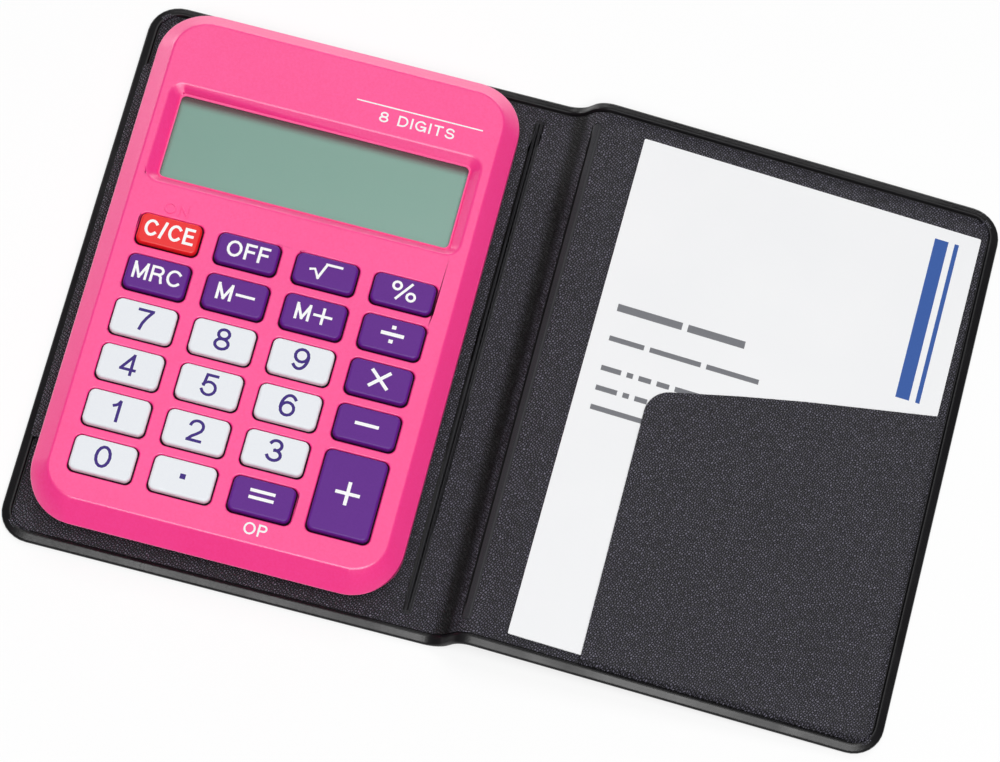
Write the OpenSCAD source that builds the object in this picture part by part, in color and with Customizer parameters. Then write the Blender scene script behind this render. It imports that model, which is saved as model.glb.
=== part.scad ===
// Pocket calculator in a folding wallet, lying open.
// The origin is under the middle of the calculator, on the surface that the wallet lies on.
// +X runs from the calculator to the cover, +Y from the keys to the display, +Z is up.

/* [Calculator case] */
// Width of the case
case_w = 58; // [54:0.5:64]
// Length of the case
case_l = 87; // [82:0.5:94]
// Thickness of the case, underside to top face
case_t = 8.7; // [8.5:0.1:9.1]
// Radius of the case corners, seen from above
case_r = 8; // [7:0.5:9]
// Width of the sloping edge round the top face
bevel_w = 2.6; // [2:0.1:3]
// Height of the sloping edge
bevel_h = 2.3; // [2:0.1:2.5]
// Height of the upright side wall
side_h = 2; // [1.6:0.1:2.2]
// How far the lower case leans in, down to its underside
lower_lean = 3; // [2:0.2:3.4]
// Wall and floor of both halves of the case
wall = 1.2; // [1:0.05:1.3]
// Height of the locating lip of the lower case
lip_h = 1; // [0.6:0.1:1.2]
// Thickness of the locating lip
lip_t = 0.7; // [0.6:0.05:0.8]

/* [Display] */
// Distance from the side of the case to the opening over the display
view_side = 5.9; // [5.6:0.1:8]
// Height of the opening over the display
view_l = 13.6; // [12:0.2:14]
// Distance from the top end of the case to the middle of the display
view_from_top = 22.4; // [22.2:0.1:23.2]
// Corner radius of the display opening
view_r = 0.8; // [0.5:0.1:1.2]
// Width of the sloping frame round the display
view_slope = 1.4; // [1:0.1:1.6]
// Thickness of the clear window
window_t = 0.8; // [0.6:0.1:0.9]
// How far the window reaches under the frame on each side
window_margin = 1.5; // [1:0.1:1.6]
// Thickness of each of the two glass plates of the display
glass_t = 0.7; // [0.5:0.05:0.75]
// Width of the contact ledge of the lower glass plate
ledge_w = 2; // [1.5:0.1:2.2]
// Thickness of the reflector sheet
reflector_t = 0.2; // [0.1:0.05:0.3]
// Width of the striped rubber connector
zebra_w = 1.4; // [1:0.1:1.6]

/* [Keys] */
// Distance from the side of the case to the first column of keys
keys_side = 5.8; // [5.6:0.1:7]
// Distance from the bottom end of the case to the last row of keys
keys_bottom = 7.3; // [7.1:0.1:8]
// Distance from the opening over the display to the first row of keys
keys_below_view = 7.1; // [6.8:0.1:8]
// Space between two columns of keys
col_gap = 3.07; // [2.4:0.01:3.4]
// Space between two rows of keys
row_gap = 2.15; // [2.05:0.05:2.6]
// How much lower the keys of the first row are than the others
short_key_cut = 0.8; // [0:0.1:1.2]
// Corner radius of a key, seen from above
key_r = 0.9; // [0.6:0.1:1.2]
// How far a key stands above the case
key_rise = 0.8; // [0.7:0.05:1]
// How far a key can be pressed
key_travel = 0.7; // [0.5:0.05:0.75]
// Softened edge round the top of a key
key_edge = 0.35; // [0.2:0.05:0.5]
// Gap between a key and its opening
key_gap = 0.22; // [0.15:0.01:0.24]
// Width of the collar that keeps a key under the case
collar_w = 0.5; // [0.4:0.05:0.5]
// Thickness of the collar
collar_t = 0.6; // [0.4:0.05:0.7]
// Length of the stem below the collar
stem_h = 0.8; // [0.6:0.05:0.9]
// Radius of the stem
stem_r = 1.3; // [1:0.1:1.5]

/* [Inside the calculator] */
// Thickness of the circuit board
board_t = 1; // [0.8:0.1:1.1]
// Thickness of the silicone key mat
mat_t = 0.6; // [0.4:0.05:0.7]
// Height of the board's top above the parting line of the case
board_above_split = 0.1; // [0:0.05:0.2]
// Radius of the button cell
cell_r = 5.8; // [5.7:0.05:5.9]
// Height of the button cell
cell_h = 3.05; // [2.8:0.05:3.05]
// Distance from the top end of the case to the middle of the button cell
cell_from_top = 10.2; // [10.1:0.1:10.6]
// Width of the battery contact strips
contact_w = 4; // [3:0.2:5]
// Thickness of the battery contact strips
contact_t = 0.2; // [0.15:0.05:0.25]
// Distance between the sides of the case and its screws
case_screw_side = 9; // [8.5:0.5:14]
// Radius of the blob that covers the chip
chip_r = 4; // [3:0.2:5]
// Height of the blob that covers the chip
chip_h = 1.1; // [0.8:0.1:1.3]
// Radius of the case screws
case_screw_r = 0.8; // [0.7:0.05:0.9]
// Radius of the board screws
board_screw_r = 0.5; // [0.4:0.05:0.5]

/* [Wallet] */
// How far the wallet reaches past the ends of the case, shared between the two ends
wallet_over = 6; // [5:0.5:9]
// How far the middle of the wallet lies above the middle of the calculator
wallet_shift = 0.4; // [0:0.1:1]
// Distance from the side of the case to the left edge of the wallet
left_margin = 3.2; // [3:0.1:4]
// Distance from the side of the case to the first fold
fold_margin = 2.2; // [2:0.1:3]
// Length of the part of the spine next to the calculator
spine_flat_l = 5.9; // [5.9:0.05:6.4]
// Length of the part of the spine next to the cover
spine_ridge_l = 5.85; // [5.8:0.05:6.2]
// How steeply the spine rises to the cover
ridge_angle = 57; // [50:1:60]
// How much wider the cover is than the half under the calculator
cover_extra = 2; // [1:0.1:3]
// Radius of the outer corners
corner_r = 5; // [4:0.5:7]
// Thickness of one skin
skin_t = 0.4; // [0.3:0.05:0.4]
// Thickness of the stiff board in each half
panel_board_t = 0.8; // [0.7:0.05:0.85]
// Width of the welded rim
rim_w = 2; // [1.8:0.1:2.4]
// Width of the raised bead along the rim
bead_w = 0.9; // [0.6:0.1:1]
// Height of that bead
bead_h = 0.12; // [0.08:0.02:0.16]
// Distance from the first fold to the padded part of the left half
left_padding = 1; // [0.8:0.1:2]
// Distance from the last fold to the padded part of the cover
cover_padding = 2.7; // [2.6:0.1:3.2]
// Width of the weld loops beside the folds
weld_w = 1.3; // [1:0.1:1.4]
// How far the weld loops stop short of the top and bottom
weld_short = 4.5; // [4:0.5:8]
// Depth of the weld grooves
weld_depth = 0.12; // [0.08:0.02:0.16]

/* [Card and pocket] */
// Width of the card
card_w = 55; // [54:0.5:55]
// Length of the card
card_l = 85; // [84:0.5:85.5]
// Thickness of the card
card_t = 0.3; // [0.2:0.05:0.35]
// Distance from the card to the welded rim at the cover's free edge
card_edge_gap = 1.5; // [1.3:0.1:2]
// How far the middle of the card lies below the middle of the wallet
card_drop = 1; // [0.9:0.1:1.2]
// Gap under the pocket sheet that the card slides in
pocket_gap = 0.4; // [0.4:0.02:0.46]
// Distance from the cover's fold to the open side of the pocket
pocket_u = 17.7; // [14:0.1:24]
// Height of the pocket's corner, from the middle of the wallet
pocket_corner = 0.3; // [-8:0.1:6]
// How far the pocket's top edge rises towards the free edge
pocket_rise = 10.8; // [0:0.2:14]
// How far the top edge of the pocket curves upwards
pocket_bulge = 1; // [0:0.1:2]
// Radius of the pocket's corner
pocket_r = 3; // [2:0.5:5]
// Distance from the flap to the underside of the case
flap_gap = 0.7; // [0.5:0.1:2]
// Height of the flap's lower end, from the middle of the wallet
flap_low = -30; // [-36:1:-20]
// Height of the flap's upper end, from the middle of the wallet
flap_high = 35.3; // [20:0.1:38]

/* [Hidden] */
$fn = 64;

// Colours
pink = [0.96, 0.2, 0.5];
purple = [0.3, 0.12, 0.48];
white = [0.92, 0.93, 0.94];
red = [0.9, 0.16, 0.16];
black_vinyl = [0.13, 0.12, 0.13];
lcd_grey = [0.52, 0.63, 0.58];
board_green = [0.1, 0.35, 0.2];
steel = [0.7, 0.7, 0.72];

// Overcut that lets a cut pass through a face, and the usual clearances
cut = 0.5;
fit = 0.1;
loose = 0.3;

// Heights, from the surface that the wallet lies on
fold_z = skin_t + panel_board_t / 2;
panel_t = 2 * fold_z;
pad_t = 0.3;
case_z = panel_t + pad_t;
top_z = case_z + case_t;
deck_z = top_z - wall;
shoulder_z = top_z - bevel_h;
split_z = shoulder_z - side_h;
floor_z = case_z + wall;
lower_h = split_z - case_z;
board_z = split_z + board_above_split - board_t;
board_top_z = board_z + board_t;
mat_top_z = board_top_z + mat_t;
collar_z = deck_z - collar_t;
stem_z = collar_z - stem_h;
key_top_z = top_z + key_rise;
window_z = deck_z - window_t;
glass_z = window_z - 2 * glass_t;
reflector_z = glass_z - reflector_t;

// The lower case: its underside is smaller by the lean, its wall also carries the lip
lip_inset = wall + fit;
lower_wall = lip_inset + lip_t;
floor_lean = lower_lean * (split_z - floor_z) / lower_h;
board_lean = lower_lean * (split_z - board_z) / lower_h;
board_edge_gap = 0.4;
board_inset = lower_wall + board_lean + board_edge_gap;
board_w = case_w - 2 * board_inset;
board_low_y = -case_l / 2 + board_inset;

// The display stack
view_y = case_l / 2 - view_from_top;
view_w = case_w - 2 * view_side;
window_w = view_w + 2 * window_margin;
window_l = view_l + 2 * window_margin;
ledge_y = view_y - window_l / 2 - ledge_w;
rib_t = 0.8;
rib_z = window_z - glass_t;
frame_w = window_w + 2 * fit;
frame_l = window_l + ledge_w + 2 * fit;
frame_y = view_y - ledge_w / 2;

// The button cell and its contacts
cell_y = case_l / 2 - cell_from_top;
cell_z = board_top_z - cell_h;
cell_cap_r = cell_r - 1;
cell_cap_h = 0.3;
cell_edge = 0.3;
well_t = 0.6;
well_h = 1.6;
contact_reach = 1.6;
contact_end_y = cell_y - cell_r - loose - contact_reach;
board_high_y = cell_y - cell_r - loose - fit;

// The keys fill the room between the display, the sides and the bottom of the case
keys_low_y = keys_bottom - case_l / 2;
keys_high_y = view_y - view_l / 2 - keys_below_view;
row_pitch = (keys_high_y - keys_low_y + row_gap + short_key_cut / 2) / 6;
key_l = row_pitch - row_gap;
short_key_l = key_l - short_key_cut;
key_w = (case_w - 2 * keys_side - 3 * col_gap) / 4;
col_pitch = key_w + col_gap;
last_col = 1.5 * col_pitch;
opening_w = key_w + 2 * key_gap;
collar_full_w = opening_w + 2 * collar_w;
dome_r = 2.3;
dome_top_r = 1.5;
last_row_y = keys_low_y + key_l / 2;
mat_high_y = keys_high_y + key_gap + collar_w;
mat_low_y = keys_low_y - key_gap - collar_w + fit;

// Screws: four through the lower case, four through the board
case_screw_x = case_w / 2 - case_screw_side;
case_screw_edge = 4.9;
case_screw_y = case_l / 2 - case_screw_edge;
case_post_r = 1.6;
case_boss_r = 2;
head_r = 1.4;
head_h = 0.9;
head_recess = 1.1;
case_screw_grip = 1.9;
board_post_r = 0.95;
board_head_r = 0.9;
board_head_h = 0.5;
board_screw_grip = 2;
board_post_gap = 0.15;
board_screw_x = last_col + collar_full_w / 2 + board_post_gap + board_post_r;
board_screw_high_y = mat_high_y + loose + board_post_r;
board_screw_low_y = last_row_y + row_pitch / 2;
slot_t = 0.3;

// The adhesive pad
pad_inset = 8;
pad_w = case_w - 2 * lower_lean - 2 * pad_inset;
pad_l = case_l - 2 * lower_lean - 2 * pad_inset;
pad_r = 5;

// The folds: a round bead on one side of each, a flat end just clear of it on the other
fold_clear = 0.05;
fold_gap = skin_t + fold_clear;
wallet_l = case_l + wallet_over;
right_reach = case_w / 2 + fold_margin;
left_w = case_w + left_margin + fold_margin;
cover_w = left_w + cover_extra;
card_u = cover_w - rim_w - card_edge_gap - card_w / 2;
flap_w = left_margin + lower_lean - flap_gap;
middle_fold_x = right_reach + spine_flat_l;
last_fold_x = middle_fold_x + spine_ridge_l * cos(ridge_angle);
last_fold_z = fold_z + spine_ridge_l * sin(ridge_angle);
// The cover slopes down until the edge of its padded part rests on the surface
rest_u = cover_w - rim_w - panel_board_t / 2;
cover_slope = asin(last_fold_z / norm([rest_u, fold_z])) - atan2(fold_z, rest_u);
panel_board_margin = 0.5;
weld_start = 0.7;
weld_u = weld_start + weld_w / 2;
weld_line = 0.3;
pad_rise = panel_board_t / 2;

// The pocket sheet leans over the padded part with this much room at its foot
pocket_side_gap = 0.3;
pocket_points = 12;
card_n = skin_t + pad_rise + (pocket_gap - card_t) / 2;

function key_x(col) = (col - 1.5) * col_pitch;
function key_y(row) = row == 0 ? keys_high_y - short_key_l / 2 : last_row_y + (5 - row) * row_pitch;

// ---- Shapes used by many pieces ----

// Rounded rectangle, centred
module round_rect(w, l, r) {
    square([w - 2 * r, l], center = true);
    square([w, l - 2 * r], center = true);
    for (x = [-1, 1], y = [-1, 1])
        translate([x * (w / 2 - r), y * (l / 2 - r)]) circle(r);
}

// Rounded plate standing on z
module plate(w, l, r, z, t) {
    translate([0, 0, z]) linear_extrude(t) round_rect(w, l, r);
}

// Cross-section of a leaning plate
module leaning_section(w, t, lean) {
    polygon([[-w / 2, 0], [w / 2, 0], [w / 2 - lean, t], [lean - w / 2, t]]);
}

// Rounded plate standing on z, whose sides and corners lean in by lean over its height
module leaning_plate(w, l, r, z, t, lean) {
    translate([0, 0, z]) {
        for (x = [-1, 1], y = [-1, 1])
            translate([x * (w / 2 - r), y * (l / 2 - r), 0]) cylinder(h = t, r1 = r, r2 = r - lean);
        rotate([90, 0, 0])
            linear_extrude(l - 2 * r, center = true) leaning_section(w, t, lean);
        rotate([90, 0, 90])
            linear_extrude(w - 2 * r, center = true) leaning_section(l, t, lean);
    }
}

// Ring between two rounded rectangles
module plate_ring(w, l, r, t, z, h) {
    difference() {
        plate(w, l, r, z, h);
        plate(w - 2 * t, l - 2 * t, r - t, z - cut, h + 2 * cut);
    }
}

module at_case_screws() {
    for (x = [-1, 1], y = [-1, 1])
        translate([x * case_screw_x, y * case_screw_y, 0]) children();
}

module at_board_screws() {
    for (x = [-1, 1], y = [board_screw_low_y, board_screw_high_y])
        translate([x * board_screw_x, y, 0]) children();
}

// Puts its children at every key: those of normal height, then the first row, then the tall key
module at_normal_keys() {
    for (row = [1 : 5], col = [0 : 3])
        if (!(col == 3 && row > 3)) translate([key_x(col), key_y(row), 0]) children();
}

module at_short_keys() {
    for (col = [0 : 3])
        translate([key_x(col), key_y(0), 0]) children();
}

module at_tall_key() {
    translate([key_x(3), (key_y(4) + key_y(5)) / 2, 0]) children();
}

module at_all_keys() {
    at_normal_keys() children();
    at_short_keys() children();
    at_tall_key() children();
}

// ---- The calculator ----

module upper_shell() {
    difference() {
        union() {
            plate(case_w, case_l, case_r, split_z, side_h);
            leaning_plate(case_w, case_l, case_r, shoulder_z, bevel_h, bevel_w);
        }
        plate(case_w - 2 * wall, case_l - 2 * wall, case_r - wall, split_z - cut, side_h + cut);
        leaning_plate(case_w - 2 * wall, case_l - 2 * wall, case_r - wall, shoulder_z,
            bevel_h - wall, bevel_w * (bevel_h - wall) / bevel_h);
    }
}

module key_opening(l) {
    plate(opening_w, l + 2 * key_gap, key_r + key_gap, deck_z - cut, wall + 2 * cut);
}

module display_opening() {
    translate([0, view_y, 0]) {
        leaning_plate(view_w, view_l, view_r, deck_z, wall, -view_slope);
        plate(view_w, view_l, view_r, deck_z - cut, 2 * cut);
    }
}

module upper_case() {
    color(pink) difference() {
        union() {
            upper_shell();
            translate([0, frame_y, 0])
                plate_ring(frame_w + 2 * rib_t, frame_l + 2 * rib_t, view_r + rib_t, rib_t,
                    rib_z, deck_z - rib_z + cut);
            at_case_screws() translate([0, 0, split_z])
                cylinder(h = deck_z - split_z + cut, r = case_post_r);
            at_board_screws() translate([0, 0, board_top_z])
                cylinder(h = deck_z - board_top_z + cut, r = board_post_r);
        }
        display_opening();
        at_normal_keys() key_opening(key_l);
        at_short_keys() key_opening(short_key_l);
        at_tall_key() key_opening(key_l + row_pitch);
        at_case_screws() translate([0, 0, split_z - cut])
            cylinder(h = case_screw_grip + cut, r = case_screw_r);
        at_board_screws() translate([0, 0, board_top_z - cut])
            cylinder(h = board_screw_grip + cut, r = board_screw_r);
    }
}

module battery_well() {
    translate([0, cell_y, floor_z - fit]) difference() {
        cylinder(h = well_h + fit, r = cell_r + loose + well_t);
        translate([0, 0, -cut]) cylinder(h = well_h + 2 * cut, r = cell_r + loose);
        translate([-contact_w / 2 - loose, -2 * cell_r, -cut])
            cube([contact_w + 2 * loose, 2 * cell_r, well_h + 2 * cut]);
    }
}

module lower_case() {
    color(pink) difference() {
        union() {
            difference() {
                leaning_plate(case_w - 2 * lower_lean, case_l - 2 * lower_lean,
                    case_r - lower_lean, case_z, lower_h, -lower_lean);
                leaning_plate(case_w - 2 * floor_lean - 2 * lower_wall,
                    case_l - 2 * floor_lean - 2 * lower_wall,
                    case_r - floor_lean - lower_wall, floor_z, split_z - floor_z, -floor_lean);
            }
            plate_ring(case_w - 2 * lip_inset, case_l - 2 * lip_inset, case_r - lip_inset,
                lip_t, split_z, lip_h);
            at_case_screws() translate([0, 0, case_z]) cylinder(h = lower_h, r = case_boss_r);
            battery_well();
        }
        at_case_screws() {
            translate([0, 0, case_z - cut]) cylinder(h = head_recess + cut, r = head_r + fit);
            translate([0, 0, case_z]) cylinder(h = lower_h + cut, r = case_screw_r + fit);
            translate([0, 0, split_z]) cylinder(h = lip_h + cut, r = case_post_r + fit);
        }
    }
}

module display_window() {
    color([0.8, 0.85, 0.85, 0.4]) translate([0, view_y, 0])
        plate(window_w, window_l, view_r, window_z, window_t);
}

module lcd_panel() {
    color(lcd_grey) {
        translate([-window_w / 2, view_y - window_l / 2, glass_z + glass_t])
            cube([window_w, window_l, glass_t]);
        translate([-window_w / 2, ledge_y, glass_z])
            cube([window_w, window_l + ledge_w, glass_t]);
    }
}

module lcd_reflector() {
    color("silver") translate([-window_w / 2, view_y - window_l / 2, reflector_z])
        cube([window_w, window_l, reflector_t]);
}

module zebra_connector() {
    color([0.25, 0.25, 0.27])
        translate([-view_w / 2, ledge_y + (ledge_w - zebra_w) / 2, board_top_z])
            cube([view_w, zebra_w, glass_z - board_top_z]);
}

module circuit_board() {
    board_l = board_high_y - board_low_y;
    color(board_green) difference() {
        translate([0, board_low_y + board_l / 2, 0])
            plate(board_w, board_l, case_r - lower_wall - board_lean, board_z, board_t);
        at_case_screws() translate([0, 0, board_z - cut])
            cylinder(h = board_t + 2 * cut, r = case_boss_r + loose);
        at_board_screws() translate([0, 0, board_z - cut])
            cylinder(h = board_t + 2 * cut, r = board_screw_r + fit);
    }
}

module chip_cap() {
    ball_r = (chip_r * chip_r + chip_h * chip_h) / (2 * chip_h);
    color([0.08, 0.08, 0.08]) translate([-last_col / 2, key_y(2), board_z])
        rotate_extrude() intersection() {
            translate([0, ball_r - chip_h]) circle(ball_r, $fn = 240);
            translate([0, -chip_h]) square([chip_r, chip_h]);
        }
}

module key_mat() {
    mat_w = 2 * (board_screw_x - board_post_r - fit);
    mat_l = mat_high_y - mat_low_y;
    color([0.85, 0.85, 0.82]) {
        translate([0, mat_low_y + mat_l / 2, 0]) plate(mat_w, mat_l, key_r, board_top_z, mat_t);
        at_all_keys() translate([0, 0, mat_top_z])
            cylinder(h = stem_z - mat_top_z, r1 = dome_r, r2 = dome_top_r);
    }
}

module battery_cell() {
    can_z = cell_cap_h;
    color(steel) translate([0, cell_y, cell_z]) rotate_extrude()
        polygon([[0, 0], [cell_cap_r, 0], [cell_cap_r, can_z], [cell_r - cell_edge, can_z],
            [cell_r, can_z + cell_edge], [cell_r, cell_h - cell_edge],
            [cell_r - cell_edge, cell_h], [0, cell_h]]);
}

module battery_contact_negative() {
    color(steel) {
        translate([-contact_w / 2, contact_end_y, cell_z - contact_t])
            cube([contact_w, cell_y - contact_end_y, contact_t]);
        translate([-contact_w / 2, contact_end_y, cell_z - contact_t])
            cube([contact_w, contact_t, board_z - cell_z + contact_t]);
    }
}

module battery_contact_positive() {
    color(steel) translate([-contact_w / 2, contact_end_y, board_top_z])
        cube([contact_w, cell_y - contact_end_y, contact_t]);
}

// Round-headed screw pointing up, with its seat at z = 0 and a cross cut in its head
module screw(shaft_r, shaft_h, round_r, round_h) {
    cylinder(h = shaft_h, r = shaft_r);
    difference() {
        translate([0, 0, -round_h]) cylinder(h = round_h, r = round_r);
        for (turn = [0, 90])
            rotate([0, 0, turn]) translate([-shaft_r, -slot_t / 2, -round_h - cut])
                cube([2 * shaft_r, slot_t, round_h / 2 + cut]);
    }
}

module case_screws() {
    seat_z = case_z + head_recess;
    color(steel) at_case_screws() translate([0, 0, seat_z])
        screw(case_screw_r, split_z + case_screw_grip - fit - seat_z, head_r, head_h);
}

module board_screws() {
    color(steel) at_board_screws() translate([0, 0, board_z])
        screw(board_screw_r, board_t + board_screw_grip - fit, board_head_r, board_head_h);
}

module adhesive_pad() {
    color([0.8, 0.8, 0.75]) plate(pad_w, pad_l, pad_r, panel_t, pad_t);
}

// One key, standing in its opening: stem, collar, body and a softened top edge
module key(l) {
    body_z = collar_z + collar_t;
    translate([0, 0, stem_z]) cylinder(h = stem_h, r = stem_r);
    plate(collar_full_w, l + 2 * key_gap + 2 * collar_w, key_r + key_gap, collar_z, collar_t);
    plate(key_w, l, key_r, body_z, key_top_z - key_edge - body_z);
    leaning_plate(key_w, l, key_r, key_top_z - key_edge, key_edge, key_edge);
}

module grid_key(col, row) {
    translate([key_x(col), key_y(row), 0]) key(row == 0 ? short_key_l : key_l);
}

module key_clear() { color(red) grid_key(0, 0); }
module key_off() { color(purple) grid_key(1, 0); }
module key_root() { color(purple) grid_key(2, 0); }
module key_percent() { color(purple) grid_key(3, 0); }
module key_memory_recall() { color(purple) grid_key(0, 1); }
module key_memory_minus() { color(purple) grid_key(1, 1); }
module key_memory_plus() { color(purple) grid_key(2, 1); }
module key_divide() { color(purple) grid_key(3, 1); }
module key_7() { color(white) grid_key(0, 2); }
module key_8() { color(white) grid_key(1, 2); }
module key_9() { color(white) grid_key(2, 2); }
module key_multiply() { color(purple) grid_key(3, 2); }
module key_4() { color(white) grid_key(0, 3); }
module key_5() { color(white) grid_key(1, 3); }
module key_6() { color(white) grid_key(2, 3); }
module key_minus() { color(purple) grid_key(3, 3); }
module key_1() { color(white) grid_key(0, 4); }
module key_2() { color(white) grid_key(1, 4); }
module key_3() { color(white) grid_key(2, 4); }
module key_plus() { color(purple) at_tall_key() key(key_l + row_pitch); }
module key_0() { color(white) grid_key(0, 5); }
module key_point() { color(white) grid_key(1, 5); }
module key_equals() { color(purple) grid_key(2, 5); }

// ---- The wallet ----
// A half of the wallet is drawn with u from its fold to its free edge, its middle at y = 0
// and n = 0 where its two skins are welded together.

// Outline of a half, with its two free corners rounded
module panel_outline(start, w, inset) {
    l = wallet_l - 2 * inset;
    r = corner_r - inset;
    end = w - inset;
    translate([start, -l / 2]) square([end - r - start, l]);
    translate([start, r - l / 2]) square([end - start, l - 2 * r]);
    for (y = [-1, 1])
        translate([end - r, y * (l / 2 - r)]) circle(r);
}

// The padded part of a half, as a leaning plate that grows by grow all round
module padded_part(padding, w, grow, n, t, lean) {
    size_u = w - rim_w - padding + 2 * grow;
    size_y = wallet_l - 2 * rim_w + 2 * grow;
    translate([padding - grow + size_u / 2, 0, 0])
        leaning_plate(size_u, size_y, corner_r - rim_w / 2, n, t, lean);
}

// The stiff board inside a half
module panel_board(padding, w, room) {
    size_u = w - rim_w - padding - 2 * panel_board_margin + 2 * room;
    size_y = wallet_l - 2 * rim_w - 2 * panel_board_margin + 2 * room;
    translate([padding + panel_board_margin - room + size_u / 2, 0, 0])
        plate(size_u, size_y, corner_r - rim_w, -pad_rise - room, panel_board_t + 2 * room);
}

// Half of a round bead along a fold, on the side where n is above 0
module half_bead(length) {
    rotate([90, 0, 0]) linear_extrude(length, center = true) intersection() {
        circle(skin_t);
        translate([-skin_t, 0]) square([2 * skin_t, skin_t]);
    }
}

// Pressed groove that runs round a weld beside a fold
module weld_loop() {
    length = wallet_l - 2 * weld_short;
    translate([weld_u, 0, skin_t - weld_depth]) linear_extrude(weld_depth + cut) difference() {
        round_rect(weld_w, length, weld_w / 2 - fit);
        round_rect(weld_w - 2 * weld_line, length - 2 * weld_line, weld_w / 2 - fit - weld_line);
    }
}

// The upper skin of a half: rim, bead along the rim, and the padded part over the board
module panel_skin(start, padding, w) {
    difference() {
        union() {
            linear_extrude(skin_t) panel_outline(start, w, 0);
            linear_extrude(skin_t + bead_h) difference() {
                panel_outline(padding, w, 0);
                panel_outline(padding - cut, w, bead_w);
            }
            padded_part(padding, w, 0, skin_t, pad_rise, pad_rise);
        }
        panel_board(padding, w, 0);
    }
}

// A welded strip of the spine, from just past one fold to the bead on the next
module spine_strip(length) {
    translate([fold_gap, -wallet_l / 2, 0]) cube([length - fold_gap, wallet_l, skin_t]);
    translate([length, 0, 0]) half_bead(wallet_l);
}

// Where each piece of the wallet lies
module on_base() {
    translate([right_reach, wallet_shift, fold_z]) mirror([1, 0, 0]) children();
}

module on_spine_flat() {
    translate([right_reach, wallet_shift, fold_z]) children();
}

module on_spine_ridge() {
    translate([middle_fold_x, wallet_shift, fold_z]) rotate([0, -ridge_angle, 0]) children();
}

module on_cover() {
    translate([last_fold_x, wallet_shift, last_fold_z]) rotate([0, cover_slope, 0]) children();
}

module base_skin() {
    panel_skin(0, left_padding, left_w);
    half_bead(wallet_l);
}

module base_inner_skin() { color(black_vinyl) on_base() base_skin(); }
module base_outer_skin() { color(black_vinyl) on_base() mirror([0, 0, 1]) base_skin(); }
module base_board() { color("tan") on_base() panel_board(left_padding, left_w, 0); }

module spine_flat_inner_skin() {
    color(black_vinyl) on_spine_flat() difference() {
        spine_strip(spine_flat_l);
        weld_loop();
    }
}

module spine_flat_outer_skin() {
    color(black_vinyl) on_spine_flat() mirror([0, 0, 1]) spine_strip(spine_flat_l);
}

module spine_ridge_inner_skin() {
    color(black_vinyl) on_spine_ridge() spine_strip(spine_ridge_l);
}

module spine_ridge_outer_skin() {
    color(black_vinyl) on_spine_ridge() mirror([0, 0, 1]) spine_strip(spine_ridge_l);
}

module cover_skin() { panel_skin(fold_gap, cover_padding, cover_w); }

module cover_inner_skin() {
    color(black_vinyl) on_cover() difference() {
        cover_skin();
        weld_loop();
    }
}

module cover_outer_skin() { color(black_vinyl) on_cover() mirror([0, 0, 1]) cover_skin(); }
module cover_board() { color("tan") on_cover() panel_board(cover_padding, cover_w, 0); }

// A sheet welded on the rim of a half, which leans over the padded part with a gap below it
module overlay(padding, w, gap, side_gap) {
    rise = pad_rise + gap;
    side_t = skin_t * sqrt(2);
    over_t = rise + skin_t;
    difference() {
        union() {
            translate([0, 0, skin_t]) linear_extrude(skin_t) panel_outline(padding, w, 0);
            padded_part(padding, w, side_gap + side_t, skin_t, over_t, over_t);
        }
        padded_part(padding, w, side_gap, skin_t, rise, rise);
        translate([0, 0, skin_t]) linear_extrude(bead_h) difference() {
            panel_outline(padding - cut, w + cut, -cut);
            panel_outline(padding - 2 * cut, w, bead_w);
        }
    }
}

// Outline of the pocket: a rounded corner, then a top edge that rises in a shallow curve
module pocket_outline() {
    span = cover_w - pocket_u;
    start_slope = atan2(pocket_rise + 4 * pocket_bulge, span);
    centre = [pocket_u + pocket_r, pocket_corner - pocket_r];
    polygon(concat(
        [[cover_w + cut, -wallet_l], [pocket_u, -wallet_l]],
        [for (i = [0 : pocket_points])
            let (a = 180 - (90 - start_slope) * i / pocket_points)
            centre + pocket_r * [cos(a), sin(a)]],
        [for (i = [2 : pocket_points])
            let (t = i / pocket_points)
            [pocket_u + span * t,
                pocket_corner + pocket_rise * t + 4 * pocket_bulge * t * (1 - t)]]
    ));
}

module card_pocket() {
    color(black_vinyl) on_cover() intersection() {
        overlay(cover_padding, cover_w, pocket_gap, pocket_side_gap);
        translate([0, 0, -cut]) linear_extrude(panel_t + 2 * cut) pocket_outline();
    }
}

module base_flap() {
    color(black_vinyl) on_base() intersection() {
        overlay(left_padding, left_w, 0, 0);
        translate([left_w - flap_w, flap_low, -cut])
            cube([flap_w + cut, flap_high - flap_low, panel_t + 2 * cut]);
    }
}

module insert_card() {
    color(white) on_cover() translate([card_u - card_w / 2, -card_drop - card_l / 2, card_n])
        cube([card_w, card_l, card_t]);
}

lower_case();
upper_case();
display_window();
lcd_panel();
lcd_reflector();
zebra_connector();
circuit_board();
chip_cap();
key_mat();
battery_cell();
battery_contact_negative();
battery_contact_positive();
case_screws();
board_screws();
adhesive_pad();
base_outer_skin();
base_board();
base_inner_skin();
base_flap();
spine_flat_outer_skin();
spine_flat_inner_skin();
spine_ridge_outer_skin();
spine_ridge_inner_skin();
cover_outer_skin();
cover_board();
cover_inner_skin();
card_pocket();
insert_card();
key_clear();
key_off();
key_root();
key_percent();
key_memory_recall();
key_memory_minus();
key_memory_plus();
key_divide();
key_7();
key_8();
key_9();
key_multiply();
key_4();
key_5();
key_6();
key_minus();
key_1();
key_2();
key_3();
key_plus();
key_0();
key_point();
key_equals();
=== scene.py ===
import math

import bmesh
import bpy
from mathutils import Matrix, Vector


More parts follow.
